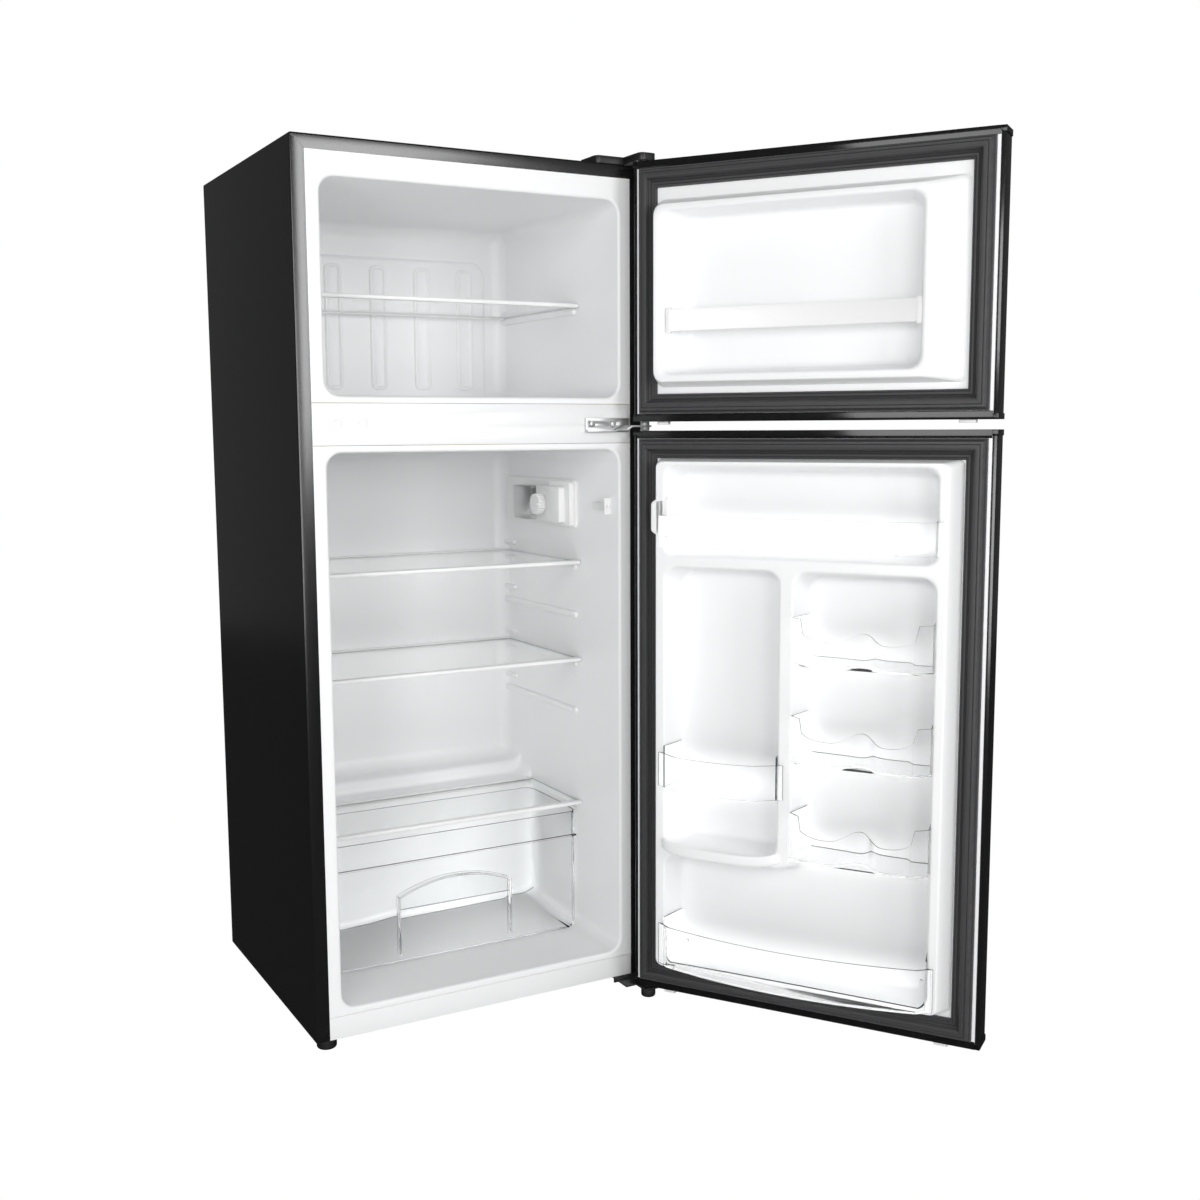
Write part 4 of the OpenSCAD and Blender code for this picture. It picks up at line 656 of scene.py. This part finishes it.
upper_piece = sheet(upper_tub, "upper_tub", CABINET, "cabinet", -1, ["freezer_liner"])
joined(upper_piece, [sheet(panel, "panel", CABINET, "cabinet", -1), beads] + freezer_runners)
print("upper tub:", len(upper_piece.data.polygons), "faces")

# %% Lower tub with its step and four levels of runners
stair = rounded_path([(LIP_R, fridge_floor), (STEP_Y, fridge_floor), (STEP_Y, STEP_Z), (STEP_Y + STEP_RUN, STEP_Z),
                      (STEP_Y + STEP_RUN, STEP_Z + STEP_RISE), (room_back - BACK_R, STEP_Z + STEP_RISE)],
                     [0, 12, 12, 8, 9, 0], steps=5)
lower_tub = tub(fridge_floor, fridge_top, sill_top + SEAM, rail_low - SEAM, stair)
LEVELS, LEVEL_STEP, SHORT_L, SHORT_H = 4, 88, 52, 9
upper_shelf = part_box("upper_shelf_glass")[0].z / MM
cover_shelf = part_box("crisper_cover_glass")[0].z / MM
runners = []
for x, facing in ((SIDE_WALL, 1), (cab_w - SIDE_WALL, -1)):
    front = shelf_front + TRIM_D + 2
    runners.append(row(rib(front, room_back, RIB_H, RIB_OUT, x, facing), "runner",
                       moved(CABINET, 0, 0, upper_shelf - RIB_GAP), LEVELS, (0, 0, -LEVEL_STEP), LINER))
    runners.append(row(rib(room_back - SHORT_L, room_back, SHORT_H, RIB_OUT, x, facing), "short_runner",
                       moved(CABINET, 0, 0, upper_shelf + 24), LEVELS, (0, 0, -LEVEL_STEP), LINER))
    runners.append(row(rib(front, STEP_Y, RIB_H - 2, RIB_OUT - 1, x, facing), "cover_runner",
                       moved(CABINET, 0, 0, cover_shelf - RIB_GAP), 1, (0, 0, 0), LINER))
lower_piece = sheet(lower_tub, "lower_tub", CABINET, "cabinet", -1, ["fridge_liner"])
joined(lower_piece, runners)
print("lower tub:", len(lower_piece.data.polygons), "faces")

# %% [markdown]
# ## Door liners
# The inside of a door is drawn from the same white sheet: a ridge that reaches into the compartment, and
# pockets between it. Boxes with cut holes would have knife edges, which is the first thing that gives away
# a model of a refrigerator. So every wall is a loft between two outlines, with an arc where it leaves the
# ridge and another where it meets the pocket's floor.

# %% Walls of a pocket
POCKET_Y = -16
RIM_R, FLOOR_R, DRAFT = 4.5, 9.0, 0.18


def pocket_walls(rim, floor, ridge):
    """Rings from the ridge down into a pocket. rim and floor are outlines of equally many points (x, z)."""
    depth = ridge - POCKET_Y
    run = depth * DRAFT
    shares = rounded_path([(-RIM_R * 0.9, 0), (0, 0), (run, -depth), (run + FLOOR_R * 2, -depth)],
                          [0, RIM_R, FLOOR_R, 0], steps=6)
    rings = []
    for p in shares:
        t = p.x / run
        rings.append([(a[0] + (b[0] - a[0]) * t, ridge + p.y, a[1] + (b[1] - a[1]) * t)
                      for a, b in zip(rim, floor)])
    return rings


def rect_outline(rect):
    """Outline (x, z) of a rounded rectangle."""
    return [(p[0], p[2]) for p in upright(rect, 0, 8)]


# %% Freezer door liner
FZ_RIDGE = 34
door_w = cab_w
fz_base = (47, door_w - 47, 55, freezer_door_h - 64, 10)
fz_crest = (101, door_w - 53, 64, freezer_door_h - 77, 17)
fz_rim = (108, door_w - 65, 75, freezer_door_h - 86, 20)
fz_floor = (121, door_w - 90, 84, freezer_door_h - 94, 20)


SLOPE = ((0, 0), (0.06, 0.03), (0.16, 0.14), (0.3, 0.33), (0.45, 0.53), (0.6, 0.71), (0.75, 0.86), (0.87, 0.95),
         (0.95, 0.99), (1, 1))


def ridge_rings(base, crest, ridge, height):
    """Rings from the skin's return over the flat border and up the slope of the ridge."""
    edge = (8, door_w - 8, 9, height - 9, 0.01)
    foot = shrink(base, -3, r=base[4] + 3)
    rings = [upright(edge, -LINER_T, 8), upright(edge, 0, 8), upright(foot, 0, 8)]
    return rings + [upright(between(base, crest, t), ridge * rise, 8) for t, rise in SLOPE]


freezer_liner = Shape()
rings = ridge_rings(fz_base, fz_crest, FZ_RIDGE, freezer_door_h)
rings += pocket_walls(rect_outline(fz_rim), rect_outline(fz_floor), FZ_RIDGE)
loops = freezer_liner.loft(rings)
freezer_liner.fill(loops[-1])
fz_liner_piece = sheet(freezer_liner, "freezer_door_lining", FREEZER_DOOR, "freezer_door", 1, ["freezer_door_liner"])
print("freezer door lining:", len(fz_liner_piece.data.polygons), "faces")

# %% [markdown]
# ## The lower door's liner
# Three pockets share one ridge here: the dairy pocket on top, a tall recess for bottles, and an L-shaped one
# for the can racks that runs on under the bottle tray. The ridge's flat face is filled between their rims,
# and each pocket is a loft of its own outline. The bottle tray's bowed lip is a second loft, a small section
# carried along an arc, because a vacuum-formed lip thins out where it runs into the ridge.

# %% Lower door liner
FR_RIDGE = 38
fr_base = (46.5, door_w - 46.5, 54, fridge_door_h - 44.5, 8)
fr_crest = (62, door_w - 60, 59, fridge_door_h - 50, 12)
POCKET_X0, POCKET_X1, POCKET_LOW = 76, door_w - 75, 64
DIVIDER_X0, DIVIDER_X1 = 299, 323
TRAY_LOW, TRAY_TOP, LEDGE_LOW, LEDGE_TOP, POCKET_TOP = 257, 271, 739, 757, fridge_door_h - 56
FLOOR_INSET = 10


def outline(corners, inset, radius):
    """Rounded outline of a polygon with square corners, moved in by inset."""
    moved_in = []
    count = len(corners)
    for i, (x, z) in enumerate(corners):
        before, after = Vector(corners[i - 1]), Vector(corners[(i + 1) % count])
        here = Vector((x, z))
        a, b = (here - before).normalized(), (after - here).normalized()
        moved_in.append(here + inset * (Vector((-a.y, a.x)) + Vector((-b.y, b.x))))
    return rounded_path(moved_in, [radius] * count, steps=8, closed=True)


DAIRY = ((POCKET_X0, LEDGE_TOP), (POCKET_X1, LEDGE_TOP), (POCKET_X1, POCKET_TOP), (POCKET_X0, POCKET_TOP))
BOTTLES = ((DIVIDER_X1, TRAY_TOP), (POCKET_X1, TRAY_TOP), (POCKET_X1, LEDGE_LOW), (DIVIDER_X1, LEDGE_LOW))
CANS = ((POCKET_X0, POCKET_LOW), (POCKET_X1, POCKET_LOW), (POCKET_X1, TRAY_LOW), (DIVIDER_X0, TRAY_LOW),
        (DIVIDER_X0, LEDGE_LOW), (POCKET_X0, LEDGE_LOW))
fridge_liner = Shape()
rings = ridge_rings(fr_base, fr_crest, FR_RIDGE, fridge_door_h)
rings.append(upright(shrink(fr_crest, 1.2), FR_RIDGE, 8))
rims = [fridge_liner.loft(rings)[-1]]
for corners, radius in ((DAIRY, 19), (BOTTLES, 24), (CANS, 24)):
    rim, floor = (outline(corners, inset, radius) for inset in (0, FLOOR_INSET))
    loops = fridge_liner.loft(pocket_walls(rim, floor, FR_RIDGE))
    fridge_liner.fill(loops[-1])
    rims.append(loops[0])
rim_edges = [fridge_liner.bm.edges.get((a, b)) for rim in rims for a, b in zip(rim, rim[1:] + rim[:1])]
bmesh.ops.triangle_fill(fridge_liner.bm, use_beauty=True, edges=rim_edges)
fr_liner_piece = sheet(fridge_liner, "fridge_door_lining", FRIDGE_DOOR, "fridge_door", 1, ["fridge_door_liner"])
print("lower door lining:", len(fr_liner_piece.data.polygons), "faces")

# %% Bowed lip of the bottle tray, and the pad that works the lamp switch
TRAY_OUT, TRAY_RISE, TRAY_STEPS = 21, 9, 36
tray = Shape()
tray_rings = []
for i in range(TRAY_STEPS + 1):
    u = 2 * i / TRAY_STEPS - 1
    x = (DIVIDER_X1 + POCKET_X1) / 2 + u * ((POCKET_X1 - DIVIDER_X1) / 2 + 5)
    out = TRAY_OUT * math.sqrt(max(1 - abs(u) ** 2.6, 0)) + 0.2
    up = TRAY_RISE * abs(u) ** 5
    front = FR_RIDGE + out
    fade = min(1, out / 8)
    section = [(FR_RIDGE - 12, TRAY_LOW), (front, TRAY_LOW), (front, TRAY_TOP + 5 * fade),
               (front - 7 * fade, TRAY_TOP + 5 * fade), (front - 12 * fade, TRAY_TOP), (FR_RIDGE - 12, TRAY_TOP)]
    line = rounded_path(section, [0, 6 * fade + 0.1, 3 * fade + 0.05, 2 * fade + 0.05, 2 * fade + 0.05, 0], steps=4)
    tray_rings.append([(x, p.x, p.y + up) for p in line])
tray.solid(tray_rings)
tray_piece = piece(tray, "bottle_tray_lip", FRIDGE_DOOR, "fridge_door", [LINER], smooth=50)
switch_low, switch_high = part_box("switch_housing")
pad_mid = (switch_low.z + switch_high.z) / 2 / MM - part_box("fridge_door_bottom_cap")[0].z / MM - 12
PAD_H, PAD_SHORT = 33, 24
pad = Shape()
pad_points = [(80, -PAD_H), (62, -PAD_H), (49, -PAD_SHORT), (49, PAD_SHORT), (62, PAD_H), (80, PAD_H)]
pad_outline = rounded_path([(door_w - x, pad_mid + z) for x, z in pad_points], [0, 8, 6, 6, 8, 0], steps=4)
pad_centre = Vector((door_w - 68, pad_mid))
pad_rings = []
for y, d in ((0, 0.0), (FR_RIDGE - 4, 0.02), (FR_RIDGE - 1.4, 0.05), (FR_RIDGE - 0.1, 0.12), (FR_RIDGE, 0.2)):
    pad_rings.append([(p.x + (pad_centre.x - p.x) * d, y, p.y + (pad_centre.y - p.y) * d) for p in pad_outline])
pad.solid(pad_rings)
pad_piece = piece(pad, "switch_pad", FRIDGE_DOOR, "fridge_door", [LINER], smooth=50)
joined(fr_liner_piece, [tray_piece, pad_piece])
print("lip and pad added")

# %% [markdown]
# ## Gaskets
# A door seal is one soft extrusion, welded at four mitred corners: a foot pressed into the liner, a hollow
# bead with a magnet strip in it, and thin lips that show as parallel lines. The section is drawn once, as
# heights across the width, and carried round the door. Each corner is a plain mitre, as on the real one.

# %% Ribbed gasket, carried round a door
GASKET_IN = 13
GASKET_W = 32
SEAL_H = 15.7
gasket_section = ((0, 0), (0, 4.6), (0.8, 5.6), (2.2, 5.2), (3.0, 6.4), (3.4, 9), (4.2, 13.2), (5.4, 15.2),
                  (7.2, SEAL_H), (8.8, 15.5), (9.4, 14.5), (10.0, 15.4), (12.0, SEAL_H), (15.4, 15.6),
                  (17.2, 14.8), (18.6, 12.8), (19.6, 9.6), (20.4, 7.4), (21.4, 6.8), (22.6, 7.6), (23.6, 6.2),
                  (24.6, 7.2), (27.6, 7.0), (28.4, 5.9), (29.2, 6.7), (30.8, 6.2), (31.6, 4.6), (GASKET_W, 2.4),
                  (GASKET_W, 0))


def gasket(body, place, height):
    """The seal of one door, with plain mitres at its corners."""
    shape = Shape()
    rings = []
    for u, h in gasket_section:
        d = GASKET_IN + u
        rings.append([(d, h, d), (door_w - d, h, d), (door_w - d, h, height - d), (d, h, height - d)])
    rings.append(rings[0])
    shape.loft(rings)
    return piece(shape, body + "_seal", place, body, [GASKET], [body + "_gasket"], smooth=25)


for body, place, height in (("freezer_door", FREEZER_DOOR, freezer_door_h),
                            ("fridge_door", FRIDGE_DOOR, fridge_door_h)):
    seal = gasket(body, place, height)
    print(seal.name, len(seal.data.polygons), "faces")

# %% [markdown]
# ## Parts whose construction shape is already right
# Hinges, caps, skins, feet, the compressor and its tubes are exact as they stand. They are copied from the
# frame with their edges rolled over by a fraction of a millimetre to two millimetres, as pressing and
# moulding leave them, and get their finish.

# %% Rolled edges and finishes
ROLLED = (
    (("freezer_door_skin", "fridge_door_skin"), 0.25, STEEL_BLACK, "black_steel"),
    (("freezer_door_top_cap", "freezer_door_bottom_cap", "fridge_door_top_cap", "fridge_door_bottom_cap"), 1.6,
     CAP_BLACK, "cap_black"),
    (("back_panel",), 0.2, BACK_BLACK, "dark_back"),
    (("base_pan", "top_hinge", "middle_hinge"), 0.5, ZINC, "galvanised"),
    (("bottom_hinge",), 0.5, DARK_ZINC, "galvanised"),
    (("hinge_screws",), 0.6, ZINC, "galvanised"),
    (("hinge_cover",), 1.5, PLASTIC_BLACK, "black_plastic"),
    (("terminal_box", "drip_tray"), 1.2, PLASTIC_BLACK, "black_plastic"),
    (("compressor",), 0.8, MACHINE, "machine_black"),
    (("condenser_brackets",), 0.3, MACHINE, "machine_black"),
    (("compressor_grommets", "front_foot_left", "front_foot_right", "rear_feet"), 0.8, RUBBER_BLACK, "black_rubber"),
    (("mullion_rail", "sill_rail"), 0.4, RAIL, "rail_white"),
    (("mullion_plugs", "thermostat_housing", "switch_housing", "freezer_door_bar"), 1.2, PART_WHITE, "part_white"),
    (("thermostat_knob", "freezer_door_stops", "fridge_door_stops"), 0.8, PART_WHITE, "part_white"),
    (("freezer_shelf_trim", "upper_shelf_trim", "lower_shelf_trim", "crisper_cover_trim"), 0.5, PART_WHITE,
     "part_white"),
    (("freezer_evaporator",), 0.5, ALUMINIUM, "aluminium"),
)
for nodes, width, material, slot in ROLLED:
    for node in nodes:
        rolled(node, width, [material])
# The left foot's stud is narrowed a little, so that its facets turn free of its hole
STUD_REACH = 6
STUD_FREE = 0.06
foot_mesh = bpy.data.objects["front_foot_left_finish"].data
foot_axis = sum(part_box("front_foot_left"), Vector()) / 2
for vert in foot_mesh.vertices:
    off = Vector((vert.co.x - foot_axis.x, vert.co.y - foot_axis.y, 0))
    if vert.co.z > (base_z - 0.5) * MM and off.length < STUD_REACH * MM:
        vert.co -= off * STUD_FREE
print("rolled:", sum(len(r[0]) for r in ROLLED), "parts")

# %% Parts that keep their frame mesh
for node, material in (("condenser", MACHINE), ("refrigerant_tubes", COPPER)):
    mesh = frame["nodes"][node].data
    mesh.materials.clear()
    mesh.materials.append(material)
print("frame meshes with a new finish: 2")

# %% Foam, drawn back by a few millimetres from the smoother skins around it
FOAM_GAPS = (("cabinet_foam", 2.2), ("freezer_door_foam", 5), ("fridge_door_foam", 4))
for node, gap in FOAM_GAPS:
    source = frame["nodes"][node]
    bm = bmesh.new()
    bm.from_mesh(source.data)
    bmesh.ops.remove_doubles(bm, verts=bm.verts, dist=0.00002)
    bmesh.ops.dissolve_limit(bm, angle_limit=0.01, verts=bm.verts, edges=bm.edges)
    bmesh.ops.triangulate(bm, faces=bm.faces)
    bmesh.ops.recalc_face_normals(bm, faces=bm.faces)
    bm.normal_update()
    for vert in bm.verts:
        vert.co -= vert.normal * (gap * MM * min(vert.calc_shell_factor(), 1.8))
    name = node + "_filling"
    finish_mesh(mesh_from(bm, name), name, node.replace("_foam", ""), [FOAM], [node])
print("foam fillings:", len(FOAM_GAPS))

# %% [markdown]
# ## Clear fittings
# The guard, the retainer, the can racks, the bins and the shelves are clear. The rims of their walls are what
# the eye follows, so faces between two sharp edges that lie close together take the darker material, which
# on the styrene is painted shade. On the guard the standing ones are flutes, in a mostly white painted
# highlight.

# %% Clear pieces with darker rims
CLEAR_NODES = ("top_guard", "bottle_retainer", "can_rack_top", "can_rack_middle", "can_rack_bottom", "bottom_bin",
               "crisper_drawer")
GLASS_NODES = ("freezer_shelf_glass", "upper_shelf_glass", "lower_shelf_glass", "crisper_cover_glass")
EDGE, DRAWER_EDGE, GLASS_EDGE = 0.45, 0.7, 0.4
CLEAR_LIMIT, GLASS_LIMIT = 2.7, 4.4
# The second slot holds the darker rims, painted shade on the styrene; the third the flutes' painted highlight
RIM_SLOT, FLUTE_HIGHLIGHT_SLOT, SAME = 1, 2, -1


def rim_of(limit, standing=RIM_SLOT):
    """Picks a material: the rims lie between sharp edges up to limit millimetres apart, and standing is for
    those that stand."""
    def tint(face):
        sharp = sum(e.calc_length() for e in face.edges if e.is_manifold and e.calc_face_angle() > SHARP)
        if face.calc_area() > limit * MM * sharp / 2:
            return 0
        return RIM_SLOT if abs(face.normal.z) > 0.5 else standing
    return tint


for node in CLEAR_NODES:
    width = DRAWER_EDGE if node == "crisper_drawer" else EDGE
    standing, edge = (FLUTE_HIGHLIGHT_SLOT, SAME) if node == "top_guard" else (RIM_SLOT, RIM_SLOT)
    rolled(node, width, [CLEAR, CLEAR_RIM_PAINTED_SHADE, FLUTE_PAINTED_HIGHLIGHT], segments=1,
           tint=rim_of(CLEAR_LIMIT, standing), edge=edge)
for node in GLASS_NODES:
    rolled(node, GLASS_EDGE, [SHELF_GLASS, GLASS_RIM], segments=1, tint=rim_of(GLASS_LIMIT))
rolled("lamp_cover", 1.0, [LAMP])
rolled("switch_plunger", 0.5, [PART_WHITE])
print("clear pieces:", len(CLEAR_NODES) + len(GLASS_NODES) + 1)

# %% [markdown]
# ## Camera, floor and light
# The camera stands in front and to the left of the cabinet at chest height. The light is a studio's: a tall
# box at the front right that the steel flange mirrors, a broad one from the left that reaches the right-hand
# walls, one behind the camera for the back walls, and a dim surround that fills the shadows. The white
# background is only what the camera sees, straight or through clear plastic. Gloss sees a dimmer one, so that
# black stays black, and so does light that has left a white wall, or clear fittings would brighten it.

# %% Camera
EYE = (-1.09330, -2.04831, 0.98299)
YAW, PITCH, ROLL = 29.28, -7.03, -0.27
LENS = 41.72
camera = in_scene("camera", bpy.data.cameras.new("camera"))
camera.data.lens = LENS
camera.data.sensor_width = 36
turn = Matrix.Rotation(math.radians(-YAW), 4, "Z") @ Matrix.Rotation(math.radians(90 + PITCH), 4, "X")
camera.matrix_world = Matrix.Translation(EYE) @ turn @ Matrix.Rotation(math.radians(ROLL), 4, "Z")
bpy.context.scene.camera = camera
print("camera at", [round(v, 2) for v in EYE])


# %% White surround, floor and lamps
def looked_at(tree, path):
    """1 on a camera ray, also behind clear plastic, and 0 once the path has left a diffuse surface."""
    seen = add(tree, "ShaderNodeMath", ((0, path.outputs["Is Camera Ray"]), (1, path.outputs["Is Transmission Ray"])),
               operation="MAXIMUM")
    straight = add(tree, "ShaderNodeMath", ((0, path.outputs["Diffuse Depth"]), (1, 0.5)), operation="LESS_THAN")
    both = add(tree, "ShaderNodeMath", ((0, seen.outputs[0]), (1, straight.outputs[0])), operation="MULTIPLY")
    return both.outputs[0]


def surround(fill, gloss):
    """World that is white where it is looked at, and dimmer to diffuse and glossy rays."""
    world = bpy.data.worlds.new("surround")
    world.use_nodes = True
    tree = world.node_tree
    back = tree.nodes["Background"]
    path = add(tree, "ShaderNodeLightPath")
    shine = add(tree, "ShaderNodeMix", ((0, path.outputs["Is Glossy Ray"]), (2, fill), (3, gloss)), data_type="FLOAT")
    level = add(tree, "ShaderNodeMix", ((0, looked_at(tree, path)), (2, shine.outputs[0]), (3, 1.0)),
                data_type="FLOAT")
    back.inputs["Color"].default_value = (1, 1, 1, 1)
    tree.links.new(level.outputs[0], back.inputs["Strength"])
    bpy.context.scene.world = world


def softbox(name, place, aim, width, height, power):
    """A rectangular lamp that looks at a point."""
    lamp = bpy.data.lights.new(name, "AREA")
    lamp.shape = "RECTANGLE"
    lamp.size, lamp.size_y, lamp.energy = width, height, power
    way = Vector(aim) - Vector(place)
    turn = way.to_track_quat("-Z", "Y").to_matrix().to_4x4()
    in_scene(name, lamp).matrix_world = Matrix.Translation(place) @ turn


def white_floor(size, gloss):
    """Floor that is white where it is looked at, and dimmer to glossy rays."""
    material = bpy.data.materials.new("studio_floor")
    material.use_nodes = True
    tree = material.node_tree
    shader = tree.nodes["Principled BSDF"]
    shader.inputs["Base Color"].default_value = (0.9, 0.9, 0.9, 1)
    shader.inputs["Roughness"].default_value = 0.9
    shader.inputs["Specular IOR Level"].default_value = 0.0
    path = add(tree, "ShaderNodeLightPath")
    glow = add(tree, "ShaderNodeEmission", (("Color", (1, 1, 1, 1)), ("Strength", 1.0)))
    both = add(tree, "ShaderNodeMixShader", ((0, looked_at(tree, path)), (1, shader.outputs[0]),
                                             (2, glow.outputs[0])))
    dim = add(tree, "ShaderNodeEmission", (("Color", (1, 1, 1, 1)), ("Strength", gloss)))
    last = add(tree, "ShaderNodeMixShader", ((0, path.outputs["Is Glossy Ray"]), (1, both.outputs[0]),
                                             (2, dim.outputs[0])))
    tree.links.new(last.outputs[0], tree.nodes["Material Output"].inputs["Surface"])
    shape = Shape()
    shape.fill([shape.bm.verts.new((x * size, y * size, -0.0005)) for x, y in ((-1, -1), (1, -1), (1, 1), (-1, 1))])
    mesh = mesh_from(shape.bm, "studio_floor")
    mesh.materials.append(material)
    in_scene("studio_floor", mesh)


surround(0.2, 0.08)
white_floor(6, 0.025)
softbox("key_box", (0.67, -3.1, 1.6), (0.0, 0.1, 1.0), 0.85, 1.6, 29)
softbox("left_box", (-2.4, -2.2, 1.3), (0.1, 0, 0.8), 1.6, 1.8, 42)
softbox("front_box", (-0.7, -3.6, 1.0), (-0.15, 0.4, 0.9), 1.2, 1.4, 26)
bpy.context.scene.view_settings.view_transform = "Standard"
print("floor, surround and three lamps")
